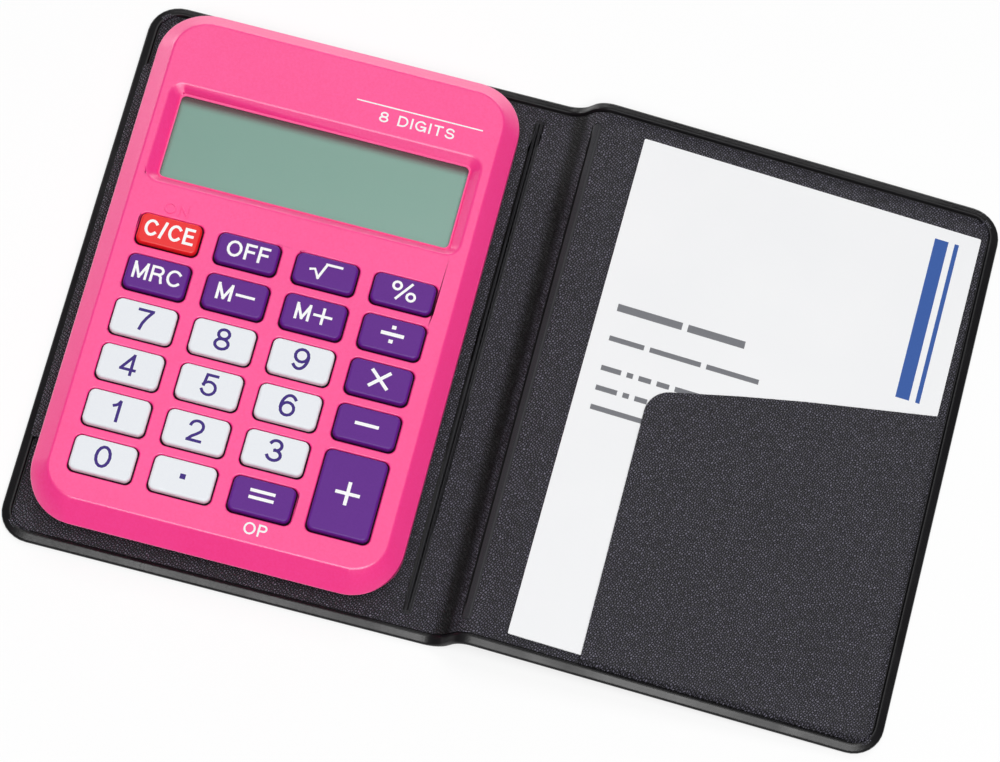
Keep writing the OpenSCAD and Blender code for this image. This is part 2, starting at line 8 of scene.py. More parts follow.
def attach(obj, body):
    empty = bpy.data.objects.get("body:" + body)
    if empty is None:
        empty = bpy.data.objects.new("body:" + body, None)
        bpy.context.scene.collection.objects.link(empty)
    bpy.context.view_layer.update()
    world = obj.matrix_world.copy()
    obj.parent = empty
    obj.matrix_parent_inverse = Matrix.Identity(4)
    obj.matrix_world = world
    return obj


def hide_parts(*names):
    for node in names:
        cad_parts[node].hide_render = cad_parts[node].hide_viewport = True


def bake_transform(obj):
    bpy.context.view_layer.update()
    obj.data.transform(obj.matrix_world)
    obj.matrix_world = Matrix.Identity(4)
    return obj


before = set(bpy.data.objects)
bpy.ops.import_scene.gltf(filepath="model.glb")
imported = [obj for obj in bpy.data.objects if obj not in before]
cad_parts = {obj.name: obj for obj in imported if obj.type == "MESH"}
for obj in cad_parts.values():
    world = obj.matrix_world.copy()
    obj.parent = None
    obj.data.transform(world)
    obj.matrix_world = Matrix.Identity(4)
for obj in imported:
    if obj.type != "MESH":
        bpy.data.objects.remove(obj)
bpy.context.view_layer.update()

print("frame loaded:", len(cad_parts), "nodes")

# Pieces are modelled in millimetres and brought to metres at the end.
millimetre = 0.001
tiny = 0.001
level = 0.99  # a face whose normal's height is above this lies flat
panelArea = 1000  # only the wallet's panels have larger faces


# Small tools

def deselectAll():
    if bpy.context.object and bpy.context.object.mode != "OBJECT":
        bpy.ops.object.mode_set(mode="OBJECT")
    bpy.ops.object.select_all(action="DESELECT")


def makeActive(piece):
    deselectAll()
    piece.select_set(True)
    bpy.context.view_layer.objects.active = piece


def editPiece(piece):
    makeActive(piece)
    bpy.ops.object.mode_set(mode="EDIT")


def leaveEdit():
    bpy.ops.object.mode_set(mode="OBJECT")


def pick(piece, kind, test):
    # Selects the vertices, edges or faces that the test accepts, and says how many
    bpy.ops.mesh.select_mode(type=kind)
    bpy.ops.mesh.select_all(action="DESELECT")
    mesh = bmesh.from_edit_mesh(piece.data)
    parts = {"VERT": mesh.verts, "EDGE": mesh.edges, "FACE": mesh.faces}[kind]
    chosen = [part for part in parts if test(part)]
    for part in chosen:
        part.select_set(True)
    mesh.select_flush_mode()
    bmesh.update_edit_mesh(piece.data)
    return len(chosen)


def addPiece(name, data):
    piece = bpy.data.objects.new(name, data)
    bpy.context.scene.collection.objects.link(piece)
    return piece


def addBox(name, low, high):
    deselectAll()
    middle = [(a + b) / 2 for a, b in zip(low, high)]
    bpy.ops.mesh.primitive_cube_add(size=1, location=middle)
    piece = bpy.context.object
    piece.name = name
    piece.data.name = name
    piece.scale = [b - a for a, b in zip(low, high)]
    bpy.ops.object.transform_apply()
    return piece


def isUpright(edge):
    a, b = (vert.co for vert in edge.verts)
    return (a - b).xy.length < tiny


def edgeAngle(edge):
    return edge.calc_face_angle(0) if len(edge.link_faces) == 2 else 0


def allAt(part, z):
    return all(abs(vert.co.z - z) < 0.01 for vert in part.verts)


def middleOf(edge):
    return (edge.verts[0].co + edge.verts[1].co) / 2


def bevelWhere(piece, test, offset, segments, clamp=True):
    # Rounds the edges that the test accepts
    pick(piece, "EDGE", test)
    bpy.ops.mesh.bevel(offset=offset, segments=segments, affect="EDGES", clamp_overlap=clamp)


def paintWhere(piece, index, test):
    # Gives the faces that the test accepts the piece's material at that index
    pick(piece, "FACE", test)
    piece.active_material_index = index
    bpy.ops.object.material_slot_assign()


def insetSteps(profile):
    # Insets the picked faces by each step and rise in turn
    for step, rise in profile:
        bpy.ops.mesh.inset(thickness=step, depth=rise, use_even_offset=True)


def sliceAll(place, normal, **settings):
    # Cuts the whole mesh by a plane
    bpy.ops.mesh.select_all(action="SELECT")
    bpy.ops.mesh.bisect(plane_co=place, plane_no=normal, threshold=1e-5, **settings)


def useModifier(piece, kind, **settings):
    makeActive(piece)
    modifier = piece.modifiers.new(kind.title(), kind)
    for key, value in settings.items():
        setattr(modifier, key, value)
    bpy.ops.object.modifier_apply(modifier=modifier.name)


def cutWith(piece, tool, operation="DIFFERENCE"):
    useModifier(piece, "BOOLEAN", operation=operation, object=tool, solver="EXACT")
    bpy.data.objects.remove(tool)


def copyOfNode(nodeName, pieceName):
    # A merged copy of a CAD node, in millimetres
    piece = addPiece(pieceName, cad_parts[nodeName].data.copy())
    piece.data.materials.clear()
    piece.scale = [1 / millimetre] * 3
    makeActive(piece)
    bpy.ops.object.transform_apply()
    editPiece(piece)
    bpy.ops.mesh.select_all(action="SELECT")
    bpy.ops.mesh.remove_doubles(threshold=tiny)
    bpy.ops.mesh.dissolve_limited(angle_limit=math.radians(0.3))
    leaveEdit()
    return piece


def smooth(piece, angle=38):
    makeActive(piece)
    bpy.ops.object.shade_smooth_by_angle(angle=math.radians(angle))
    useModifier(piece, "WEIGHTED_NORMAL", keep_sharp=True, weight=80)


def finishPiece(piece, body, materials, replaced=(), place=None, angle=38):
    # Merges, places, scales to metres, shades, and hands the piece to its body
    editPiece(piece)
    bpy.ops.mesh.select_all(action="SELECT")
    bpy.ops.mesh.remove_doubles(threshold=tiny / 2)
    bpy.ops.mesh.normals_make_consistent(inside=False)
    leaveEdit()
    if place:
        piece.matrix_world = place
        bpy.ops.object.transform_apply()
    piece.scale = [millimetre] * 3
    bpy.ops.object.transform_apply()
    for material in materials:
        piece.data.materials.append(material)
    smooth(piece, angle)
    if body:
        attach(piece, body)
    if replaced:
        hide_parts(*replaced)


# Materials

def colour(red, green, blue):
    # A colour as it looks on a screen, 0 to 255, for a shader
    parts = [value / 255 for value in (red, green, blue)]
    return tuple(p / 12.92 if p <= 0.04045 else ((p + 0.055) / 1.055) ** 2.4 for p in parts) + (1,)


def setSocket(tree, socket, value):
    # Links another node's output, or sets a plain value
    if isinstance(value, bpy.types.NodeSocket):
        tree.links.new(value, socket)
    else:
        socket.default_value = value


def addNode(tree, kind, inputs=None, **settings):
    node = tree.nodes.new("ShaderNode" + kind)
    for key, value in settings.items():
        setattr(node, key, value)
    for key, value in (inputs or {}).items():
        setSocket(tree, node.inputs[key], value)
    return node


def wire(tree, sockets, **values):
    # Sets each socket by its name, with a _ for each space in it
    for key, value in values.items():
        setSocket(tree, sockets[key.replace("_", " ")], value)


def calculate(tree, operation, *values):
    return addNode(tree, "Math", dict(enumerate(values)), operation=operation).outputs[0]


def spread(tree, value, low, high):
    # Brings a value from 0..1 to low..high
    return addNode(tree, "MapRange", {"Value": value, "To Min": low, "To Max": high}).outputs[0]


def ramp(tree, value, start, end, kind="SMOOTHSTEP"):
    # Goes from 0 to 1 as the value goes from start to end
    return addNode(tree, "MapRange", {"Value": value, "From Min": start, "From Max": end},
                   interpolation_type=kind).outputs[0]


def scaleVector(tree, vector, factor):
    return addNode(tree, "VectorMath", {0: vector, "Scale": factor}, operation="SCALE").outputs[0]


def blendColours(tree, factor, first, second):
    return addNode(tree, "Mix", {0: factor, 6: first, 7: second}, data_type="RGBA").outputs[2]


def newGroup(name, inputs, outputs):
    group = bpy.data.node_groups.new(name, "ShaderNodeTree")
    for socketName, kind, value in inputs:
        socket = group.interface.new_socket(name=socketName, in_out="INPUT", socket_type=kind)
        if value is not None:
            socket.default_value = value
    for socketName, kind in outputs:
        group.interface.new_socket(name=socketName, in_out="OUTPUT", socket_type=kind)
    source = group.nodes.new("NodeGroupInput")
    target = group.nodes.new("NodeGroupOutput")
    return group, source.outputs, target.inputs


def mouldedTexture():
    # The fine spark-eroded texture of a mould, with a slow change of tone
    group, given, result = newGroup(
        "mouldedTexture",
        [("Vector", "NodeSocketVector", None), ("Size", "NodeSocketFloat", 0.0002),
         ("Depth", "NodeSocketFloat", 0.1)],
        [("Normal", "NodeSocketVector"), ("Tone", "NodeSocketFloat"), ("Speck", "NodeSocketFloat")])
    scale = calculate(group, "DIVIDE", 1, given["Size"])
    fine = addNode(group, "TexNoise",
                   {"Vector": given["Vector"], "Scale": scale, "Detail": 3, "Roughness": 0.6})
    slow = addNode(group, "TexNoise",
                   {"Vector": given["Vector"], "Scale": 55, "Detail": 2})
    bump = addNode(group, "Bump",
                   {"Strength": given["Depth"], "Distance": 0.00005, "Height": fine.outputs[0]})
    wire(group, result, Normal=bump.outputs[0], Tone=slow.outputs[0], Speck=fine.outputs[0])
    return group


def vinylGrain():
    # Pebbled grain of embossed vinyl: small raised cells, with painted glints on some and painted
    # shade in the valleys between them
    group, given, result = newGroup(
        "vinylGrain",
        [("Vector", "NodeSocketVector", None), ("Size", "NodeSocketFloat", 0.4),
         ("Depth", "NodeSocketFloat", 0.6)],
        [("Normal", "NodeSocketVector"), ("Valley", "NodeSocketFloat"),
         ("Glint", "NodeSocketFloat"), ("Tone", "NodeSocketFloat")])
    scale = calculate(group, "DIVIDE", 1, given["Size"])
    # The cells lie a little longer one way than the other
    slanted = addNode(group, "Mapping",
                      {"Vector": given["Vector"], "Rotation": (0, 0, 1), "Scale": (1, 0.72, 1)},
                      vector_type="TEXTURE")
    warp = addNode(group, "TexNoise",
                   {"Vector": given["Vector"], "Scale": calculate(group, "MULTIPLY", scale, 0.7),
                    "Detail": 2})
    shift = scaleVector(group, warp.outputs["Color"],
                        calculate(group, "MULTIPLY", given["Size"], 0.4))
    moved = addNode(group, "VectorMath", {0: slanted.outputs[0], 1: shift}, operation="ADD")
    pattern = {"Vector": moved.outputs[0], "Scale": scale, "Randomness": 0.7}
    cells = addNode(group, "TexVoronoi", pattern, feature="DISTANCE_TO_EDGE",
                    voronoi_dimensions="2D")
    lots = addNode(group, "TexVoronoi", pattern, voronoi_dimensions="2D")
    dome = ramp(group, cells.outputs[0], 0.02, 0.42)
    lot = addNode(group, "SeparateColor", {0: lots.outputs["Color"]}).outputs[0]
    bright = calculate(group, "MULTIPLY", spread(group, lot, 0.25, 1.0), dome)
    lifted = calculate(group, "MULTIPLY", dome, spread(group, lot, 0.3, 1.0))
    bump = addNode(group, "Bump",
                   {"Strength": given["Depth"], "Distance": 0.00016, "Height": lifted})
    slow = addNode(group, "TexNoise",
                   {"Vector": given["Vector"], "Scale": 0.09, "Detail": 3})
    wire(group, result, Normal=bump.outputs[0], Valley=calculate(group, "SUBTRACT", 1, dome),
         Glint=bright, Tone=slow.outputs[0])
    return group


def handlingMarks():
    # Faint smears and hairlines that handling leaves on a glossy surface
    group, given, result = newGroup(
        "handlingMarks",
        [("Vector", "NodeSocketVector", None), ("Amount", "NodeSocketFloat", 0.5)],
        [("Mask", "NodeSocketFloat")])
    smear = addNode(group, "TexNoise",
                    {"Vector": given["Vector"], "Scale": 130, "Detail": 4, "Distortion": 0.8})
    patch = addNode(group, "TexNoise",
                    {"Vector": given["Vector"], "Scale": 28, "Detail": 1})
    both = calculate(group, "MULTIPLY", smear.outputs[0], patch.outputs[0])
    wire(group, result, Mask=calculate(group, "MULTIPLY", both, given["Amount"]))
    return group


effects = {"moulded": mouldedTexture(), "grain": vinylGrain(), "marks": handlingMarks()}


def startMaterial(name, **sockets):
    material = bpy.data.materials.new(name)
    material.use_nodes = True
    tree = material.node_tree
    shader = tree.nodes["Principled BSDF"]
    wire(tree, shader.inputs, **sockets)
    place = addNode(tree, "TexCoord").outputs["Object"]
    return material, tree, shader, place


def useEffect(tree, name, **inputs):
    node = tree.nodes.new("ShaderNodeGroup")
    node.node_tree = effects[name]
    wire(tree, node.inputs, **inputs)
    return node.outputs


def plastic(name, base, deep, roughness, size=0.00025, depth=0.12, **sockets):
    material, tree, shader, place = startMaterial(name, **sockets)
    texture = useEffect(tree, "moulded", Vector=place, Size=size, Depth=depth)
    marks = useEffect(tree, "marks", Vector=place, Amount=0.6)
    fine = calculate(tree, "MULTIPLY", spread(tree, texture["Speck"], -0.7, 0.9), 0.9)
    tone = calculate(tree, "MULTIPLY_ADD", texture["Tone"], 0.5, fine)
    rough = calculate(tree, "MULTIPLY_ADD", marks["Mask"], 0.35, roughness)
    wire(tree, shader.inputs, Base_Color=blendColours(tree, tone, base, deep),
         Roughness=calculate(tree, "MULTIPLY_ADD", texture["Speck"], 0.06, rough),
         Normal=texture["Normal"])
    return material


flatScale = 100  # the flat pattern's map is in tenths of a metre
# Painted shade along the bottom of the valley fold: where it starts and where it is fully dark on
# each side
valleyShadeStripe = ((35.5, 37.7), (41, 38.8))  # millimetres across the pattern, from pale to dark


def grainedVinyl(name, base, valley, bright, size, depth, roughness):
    # Follows the flat pattern of the wallet, which each of its pieces carries as a map
    material, tree, shader, _ = startMaterial(name, Specular_IOR_Level=0.4)
    flat = addNode(tree, "UVMap", uv_map="flatPattern").outputs[0]
    inMillimetres = scaleVector(tree, flat, flatScale)
    grain = useEffect(tree, "grain", Vector=inMillimetres, Size=size, Depth=depth)
    # Painted shade in the grain's valleys and painted glints on its cells
    shade = blendColours(tree, grain["Valley"], base, valley)
    lit = blendColours(tree, grain["Glint"], shade, bright)
    slow = spread(tree, grain["Tone"], 0.86, 1.14)
    # Painted shade: the bottom of the valley fold, where the ridge's flank turns from the light, is
    # darkened
    across = addNode(tree, "SeparateXYZ", {0: inMillimetres}).outputs[0]
    sides = [ramp(tree, across, pale, dark) for pale, dark in valleyShadeStripe]
    valleyShade = calculate(tree, "MULTIPLY", calculate(tree, "MULTIPLY", *sides), -0.93)
    scale = calculate(tree, "MULTIPLY", slow, calculate(tree, "ADD", valleyShade, 1))
    wire(tree, shader.inputs, Base_Color=scaleVector(tree, lit, scale), Normal=grain["Normal"],
         Roughness=calculate(tree, "MULTIPLY_ADD", grain["Valley"], 0.25, roughness))
    return material


def smoothVinyl(name, base, roughness, shine=0.6):
    # Vinyl that the welding tool pressed smooth, with faint ripples
    material, tree, shader, place = startMaterial(name, Specular_IOR_Level=shine)
    texture = useEffect(tree, "moulded", Vector=place, Size=0.0009, Depth=0.5)
    marks = useEffect(tree, "marks", Vector=place, Amount=1.0)
    tone = blendColours(tree, texture["Tone"], base, tuple(1.5 * c for c in base[:3]) + (1,))
    wire(tree, shader.inputs, Base_Color=tone, Normal=texture["Normal"],
         Roughness=calculate(tree, "MULTIPLY_ADD", marks["Mask"], 0.5, roughness))
    return material


materials = {
    "pink": plastic("pinkPlastic", colour(255, 60, 148), colour(252, 36, 130), 0.34, 0.0004,
                    0.8, Coat_Weight=1.0, Coat_Roughness=0.3),
    "red": plastic("redKeyPlastic", colour(240, 26, 28), colour(232, 20, 24), 0.3),
    "purple": plastic("purpleKeyPlastic", colour(94, 18, 138), colour(86, 10, 130), 0.36,
                      Specular_IOR_Level=0.4),
    "white": plastic("whiteKeyPlastic", colour(233, 236, 240), colour(228, 231, 237), 0.35),
    "whitePrint": plastic("whitePrint", colour(250, 250, 250), colour(244, 244, 246), 0.5),
    "indigoPrint": plastic("indigoPrint", colour(52, 14, 124), colour(46, 12, 114), 0.5),
    # Near-black vinyl whose grain carries painted shade in its valleys and painted glints on its
    # cells
    "grain": grainedVinyl("grainedVinyl", colour(9, 9, 10), colour(1, 1, 2),
                          colour(114, 111, 126), 0.46, 1.0, 0.42),
    "weld": smoothVinyl("weldedVinyl", colour(45, 45, 48), 0.28, 0.35),
    "rim": smoothVinyl("pressedRim", colour(17, 16, 18), 0.22, 0.38),
    # Near-black painted shade for the deep trench beside each weld band
    "crease": smoothVinyl("paintedCreaseShade", colour(5, 5, 6), 0.5),
    # Darker pink for the walls of the key openings: painted shade
    "pinkShade": plastic("pinkOpeningWallShade", colour(150, 12, 62), colour(140, 10, 56), 0.5),
    # Near-black for what lies inside the gap round each key: painted shade
    "gapShade": plastic("keyGapShade", colour(34, 10, 22), colour(26, 8, 18), 0.6),
}
print("materials ready")


# The wallet: one flat welded sheet, folded at the spine

wallet = {
    "left": -32.2, "low": -46.1, "high": 46.9, "middle": 0.8, "thickness": 0.8,
    "cornerRadius": 5, "edgeRounding": 0.37, "rimWidth": 1.8, "firstReach": 0.75,
    "padRise": 0.01, "padInset": 1.86, "padRadius": 3.15, "firstFold": 31.2, "leftPadding": 1,
    # Steps inwards across the rim and the rise at each: a slope, a bead, a groove, the panel
    "rimProfile": [(0.2, 0.07), (0.26, 0.1), (0.26, 0.1), (0.18, 0.03), (0.12, -0.02),
                   (0.16, -0.18), (0.08, -0.27), (0.1, 0), (0.11, 0.16)],
    # The same for a panel, which swells over its board
    "padProfile": [(0.5, 0.05), (0.5, 0.08), (0.5, 0.09), (0.5, 0.08), (0.45, 0.05), (0.35, 0.03)],
    "spineFlat": 5.9, "spineRidge": 5.85, "ridgeAngle": 57, "coverSlope": 4.46874,
    "coverWidth": 65.4, "coverPadding": 1.9,
    "valleyReach": 2.2, "ridgeReach": 1.8, "foldSteps": 8,
    "weldStart": -0.68, "weldWidth": 1.5, "weldShort": 3.8, "weldLine": 0.22, "weldDepth": 0.14,
    "trenchWidth": 0.34, "trenchDepth": 0.5, "backWeldDepth": 0.1,
    # Steps and rises inside the first weld band and the second
    "bandProfiles": [[(0.05, 0.05), (0.05, -0.05), (0.05, -0.1), (0.05, 0), (0.05, 0.12),
                      (0.05, 0), (0.04, -0.1), (0.04, 0)],
                     [(0.06, 0.03), (0.06, 0.01), (0.08, -0.03)]],
}


def foldPlan(angle, reach, steps):
    # A fold of steps + 1 small turns, whose ends lie at reach from the sharp corner
    turn = angle / (steps + 1)
    span = 2 * reach * math.cos(math.radians(angle) / 2)
    chord = span * math.sin(math.radians(turn) / 2) / math.sin(math.radians(turn) * steps / 2)
    return turn, chord


middleFold = wallet["firstFold"] + wallet["spineFlat"]
ridgeTurn = wallet["ridgeAngle"] + wallet["coverSlope"]
valley = dict(zip(("turn", "chord"), foldPlan(wallet["ridgeAngle"], wallet["valleyReach"],
                                              wallet["foldSteps"])))
ridge = dict(zip(("turn", "chord"), foldPlan(ridgeTurn, wallet["ridgeReach"],
                                             wallet["foldSteps"])))
valley["start"] = middleFold - wallet["valleyReach"]
valley["end"] = valley["start"] + wallet["foldSteps"] * valley["chord"]
straight = wallet["spineRidge"] - wallet["valleyReach"] - wallet["ridgeReach"]
ridge["start"] = valley["end"] + straight
ridge["end"] = ridge["start"] + wallet["foldSteps"] * ridge["chord"]
coverStart = ridge["end"] - wallet["ridgeReach"]
flatRight = coverStart + wallet["coverWidth"]
walletMiddle = (wallet["low"] + wallet["high"]) / 2

ridgeAngle = math.radians(wallet["ridgeAngle"])
lastFold = Vector((middleFold + wallet["spineRidge"] * math.cos(ridgeAngle), 0,
                   wallet["middle"] + wallet["spineRidge"] * math.sin(ridgeAngle)))
onCover = Matrix.Translation(lastFold) \
    @ Matrix.Rotation(math.radians(wallet["coverSlope"]), 4, "Y")


def pressRim(piece, up):
    # The welded rim on one side of the sheet
    pick(piece, "FACE", lambda face: face.normal.z * up > level and face.calc_area() > panelArea)
    insetSteps(wallet["rimProfile"])


def roundedSlab(name, low, high, radius, rounding, segments=8):
    piece = addBox(name, low, high)
    editPiece(piece)
    bevelWhere(piece, isUpright, radius, segments)
    if rounding:
        bevelWhere(piece, lambda e: allAt(e, low[2]) or allAt(e, high[2]), rounding, 3)
    leaveEdit()
    return piece


def weldLoopTool(start, side, depth):
    # A long oval ring that presses its groove into one side of the sheet
    face = wallet["middle"] + side * wallet["thickness"] / 2
    ends = sorted((face - side * depth, face + side))
    piece = roundedSlab(
        "weldTool", (start, wallet["low"] + wallet["weldShort"], ends[0]),
        (start + wallet["weldWidth"], wallet["high"] - wallet["weldShort"], ends[1]),
        wallet["weldWidth"] / 2 - 0.02, 0, 6)
    editPiece(piece)
    pick(piece, "FACE", lambda part: abs(part.normal.z) > level)
    bpy.ops.mesh.inset(thickness=wallet["weldLine"])
    bpy.ops.mesh.bridge_edge_loops()
    bpy.ops.mesh.select_all(action="SELECT")
    bpy.ops.mesh.normals_make_consistent(inside=False)
    leaveEdit()
    return piece


def pressWeld(sheet, fold):
    # One weld band: an oval groove, a deeper crease on its left, and fine lines inside
    start = fold + wallet["weldStart"]
    top = wallet["middle"] + wallet["thickness"] / 2
    cutWith(sheet, weldLoopTool(start, 1, wallet["weldDepth"]))
    cutWith(sheet, weldLoopTool(start, -1, wallet["backWeldDepth"]))
    reach = wallet["weldShort"] + wallet["weldWidth"] / 2
    cutWith(sheet, roundedSlab(
        "creaseTool", (start - 0.04, wallet["low"] + reach, top - wallet["trenchDepth"]),
        (start - 0.04 + wallet["trenchWidth"], wallet["high"] - reach, top + 1), 0.1, 0, 3))
    editPiece(sheet)
    pick(sheet, "FACE", lambda face: face.normal.z > level and abs(face.verts[0].co.z - top) < 0.05
         and all(0 < v.co.x - start < wallet["weldWidth"] for v in face.verts))
    insetSteps(wallet["bandProfiles"][fold == coverStart])
    leaveEdit()


def makePad(start, end):
    # The swelling of a panel over its board, on both sides of the sheet
    half = wallet["thickness"] / 2 + wallet["padRise"]
    pad = roundedSlab("pad", (start, wallet["low"] + wallet["padInset"], wallet["middle"] - half),
                      (end, wallet["high"] - wallet["padInset"], wallet["middle"] + half),
                      wallet["padRadius"], 0, 8)
    editPiece(pad)
    for side in (1, -1):
        pick(pad, "FACE",
             lambda face: face.normal.z * side > level and face.calc_area() > panelArea)
        insetSteps(wallet["padProfile"])
    leaveEdit()
    return pad


def makeFlatSheet():
    half = wallet["thickness"] / 2
    low = (wallet["left"], wallet["low"], wallet["middle"] - half)
    high = (flatRight, wallet["high"], wallet["middle"] + half)
    sheet = roundedSlab("walletSheet", low, high, wallet["cornerRadius"], wallet["edgeRounding"])
    editPiece(sheet)
    pressRim(sheet, 1)
    pressRim(sheet, -1)
    leaveEdit()
    inset = wallet["padInset"]
    for start, end in ((wallet["left"] + inset, wallet["firstFold"] - wallet["leftPadding"]),
                       (coverStart + wallet["coverPadding"], flatRight - inset)):
        cutWith(sheet, makePad(start, end), "UNION")
    pressWeld(sheet, wallet["firstFold"])
    pressWeld(sheet, coverStart)
    return sheet


def mapFlat(piece):
    # The flat pattern, as the map that the grain follows
    layer = piece.data.uv_layers.new(name="flatPattern")
    for loop in piece.data.loops:
        place = piece.data.vertices[loop.vertex_index].co
        layer.data[loop.index].uv = (place.x / flatScale, place.y / flatScale)


def markWelds(piece):
    # The rim and the weld bands are pressed smooth, and the trench beside each band is painted
    # near-black as shade
    half = (wallet["high"] - wallet["low"]) / 2 - wallet["weldShort"] - wallet["weldWidth"] / 2

    def isRim(face):
        c = face.calc_center_median()
        return min(c.x - wallet["left"], flatRight - c.x, c.y - wallet["low"],
                   wallet["high"] - c.y) < wallet["rimWidth"]

    def isPressed(face):
        c = face.calc_center_median()
        beyond = max(0, abs(c.y - walletMiddle) - half)
        middles = [fold + wallet["weldStart"] + wallet["weldWidth"] / 2
                   for fold in (wallet["firstFold"], coverStart)]
        return any(math.hypot(c.x - middle, beyond) < wallet["weldWidth"] / 2 - 0.01
                   for middle in middles)

    def isShadedCrease(face):
        c = face.calc_center_median()
        return any(-0.05 < c.x - fold - wallet["weldStart"] < wallet["trenchWidth"] for fold in
                   (wallet["firstFold"], coverStart)) and abs(c.y - walletMiddle) < half \
            and 0.9 > c.z - wallet["middle"] > -0.3 and c.z < wallet["middle"] + 0.36

    editPiece(piece)
    for index, test in ((1, isPressed), (2, isShadedCrease), (3, isRim)):
        paintWhere(piece, index, test)
    leaveEdit()


def cutAt(piece, places):
    editPiece(piece)
    for place in places:
        sliceAll((place, 0, 0), (1, 0, 0))
    leaveEdit()


def keepPart(piece, start, end):
    editPiece(piece)
    if start is not None:
        sliceAll((start, 0, 0), (1, 0, 0), use_fill=True, clear_inner=True)
    if end is not None:
        sliceAll((end, 0, 0), (1, 0, 0), use_fill=True, clear_outer=True)
    leaveEdit()


def foldUp(piece, fold, sign):
    # Small turns from the far end of the fold to its start; sign 1 turns the far side up
    editPiece(piece)
    for step in range(wallet["foldSteps"], -1, -1):
        place = fold["start"] + step * fold["chord"]
        if pick(piece, "VERT", lambda vert: vert.co.x > place + 1e-4):
            centre = Vector((place, 0, wallet["middle"]))
            turn = Matrix.Rotation(math.radians(-sign * fold["turn"]), 4, "Y")
            about = Matrix.Translation(centre) @ turn @ Matrix.Translation(-centre)
            mesh = bmesh.from_edit_mesh(piece.data)
            bmesh.ops.transform(mesh, matrix=about, verts=[v for v in mesh.verts if v.select])
            bmesh.update_edit_mesh(piece.data)
    leaveEdit()


flatSheet = makeFlatSheet()
for finish in ("grain", "weld", "crease", "rim"):
    flatSheet.data.materials.append(materials[finish])
foldCuts = [wallet["firstFold"] + 0.25 * step + 0.01 for step in range(-4, 5)]
foldCuts += [fold + wallet["weldStart"] + side * wallet["weldWidth"]
             for fold in (wallet["firstFold"], coverStart) for side in (0, 1)]
foldCuts += [fold["start"] + step * fold["chord"] for fold in (valley, ridge)
             for step in range(wallet["foldSteps"] + 1)]
cutAt(flatSheet, foldCuts)
mapFlat(flatSheet)
markWelds(flatSheet)
flatSplit = wallet["firstFold"] + wallet["spineFlat"] / 2
ridgeSplit = (valley["end"] + ridge["start"]) / 2
walletParts = {
    "walletHalf": (None, flatSplit, "base", "spine_flat",
                   (wallet["firstFold"] - wallet["firstReach"], 0, wallet["middle"]),
                   (wallet["firstFold"] + wallet["firstReach"], 0, wallet["middle"]),
                   ("base_outer_skin", "base_inner_skin", "spine_flat_outer_skin",
                    "spine_flat_inner_skin")),
    "walletSpine": (flatSplit, ridgeSplit, "spine_flat", "spine_ridge",
                    (valley["start"], 0, wallet["middle"]),
                    (middleFold + wallet["valleyReach"] * math.cos(ridgeAngle), 0,
                     wallet["middle"] + wallet["valleyReach"] * math.sin(ridgeAngle)),
                    ("spine_ridge_outer_skin", "spine_ridge_inner_skin")),
    "walletCover": (ridgeSplit, None, "spine_ridge", "cover",
                    tuple(lastFold - wallet["ridgeReach"]
                          * Vector((math.cos(ridgeAngle), 0, math.sin(ridgeAngle)))),
                    tuple(onCover @ Vector((wallet["ridgeReach"], 0, 0))),
                    ("cover_outer_skin", "cover_inner_skin")),
}
for name, (start, end, bodyA, bodyB, blendStart, blendEnd, nodes) in walletParts.items():
    part = addPiece(name, flatSheet.data.copy())
    keepPart(part, start, end)
    foldUp(part, ridge, -1)
    foldUp(part, valley, 1)
    finishPiece(part, None, [], nodes)
    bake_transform(part)
bpy.data.objects.remove(flatSheet)
print("wallet sheet folded")


# Flap and pocket: vinyl sheets that come down to the rim's groove

def lowerEdge(piece, axis, edge, reach, drop, under=None, steps=4):
    # Lets a sheet slope down to its outer edge, over reach; what already lies low, judged by
    # the height of the sheet's underside, is lowered no further
    sign = 1 if edge > 0 else -1
    normal = Vector((1, 0, 0)) if axis == 0 else Vector((0, 1, 0))
    editPiece(piece)
    for step in range(steps):
        sliceAll(normal * (edge - sign * reach * (step + 1) / steps), normal)
    leaveEdit()
    for vert in piece.data.vertices:
        share = 1 - min(1, max(0, sign * (edge - vert.co[axis]) / reach))
        height = vert.co.z - drop * (0.5 - 0.5 * math.cos(math.pi * share))
        if under is not None:
            height = max(height, min(vert.co.z, under - drop + (vert.co.z - under) * 0.5))
        vert.co.z = height


def makeFlap():
    flap = {"left": -31.15, "right": -26.7, "low": -29.6, "high": 35.7, "under": 1.61,
            "thickness": 0.34, "reach": 0.9, "drop": 0.24, "radius": 0.8, "edge": 0.09}
    piece = roundedSlab("edgeFlap", (flap["left"], flap["low"], flap["under"]),
                        (flap["right"], flap["high"], flap["under"] + flap["thickness"]),
                        flap["radius"], flap["edge"], 4)
    lowerEdge(piece, 0, flap["left"], flap["reach"], flap["drop"])
    piece.data.materials.append(materials["grain"])
    mapFlat(piece)
    finishPiece(piece, "base", [], ("base_flap",))


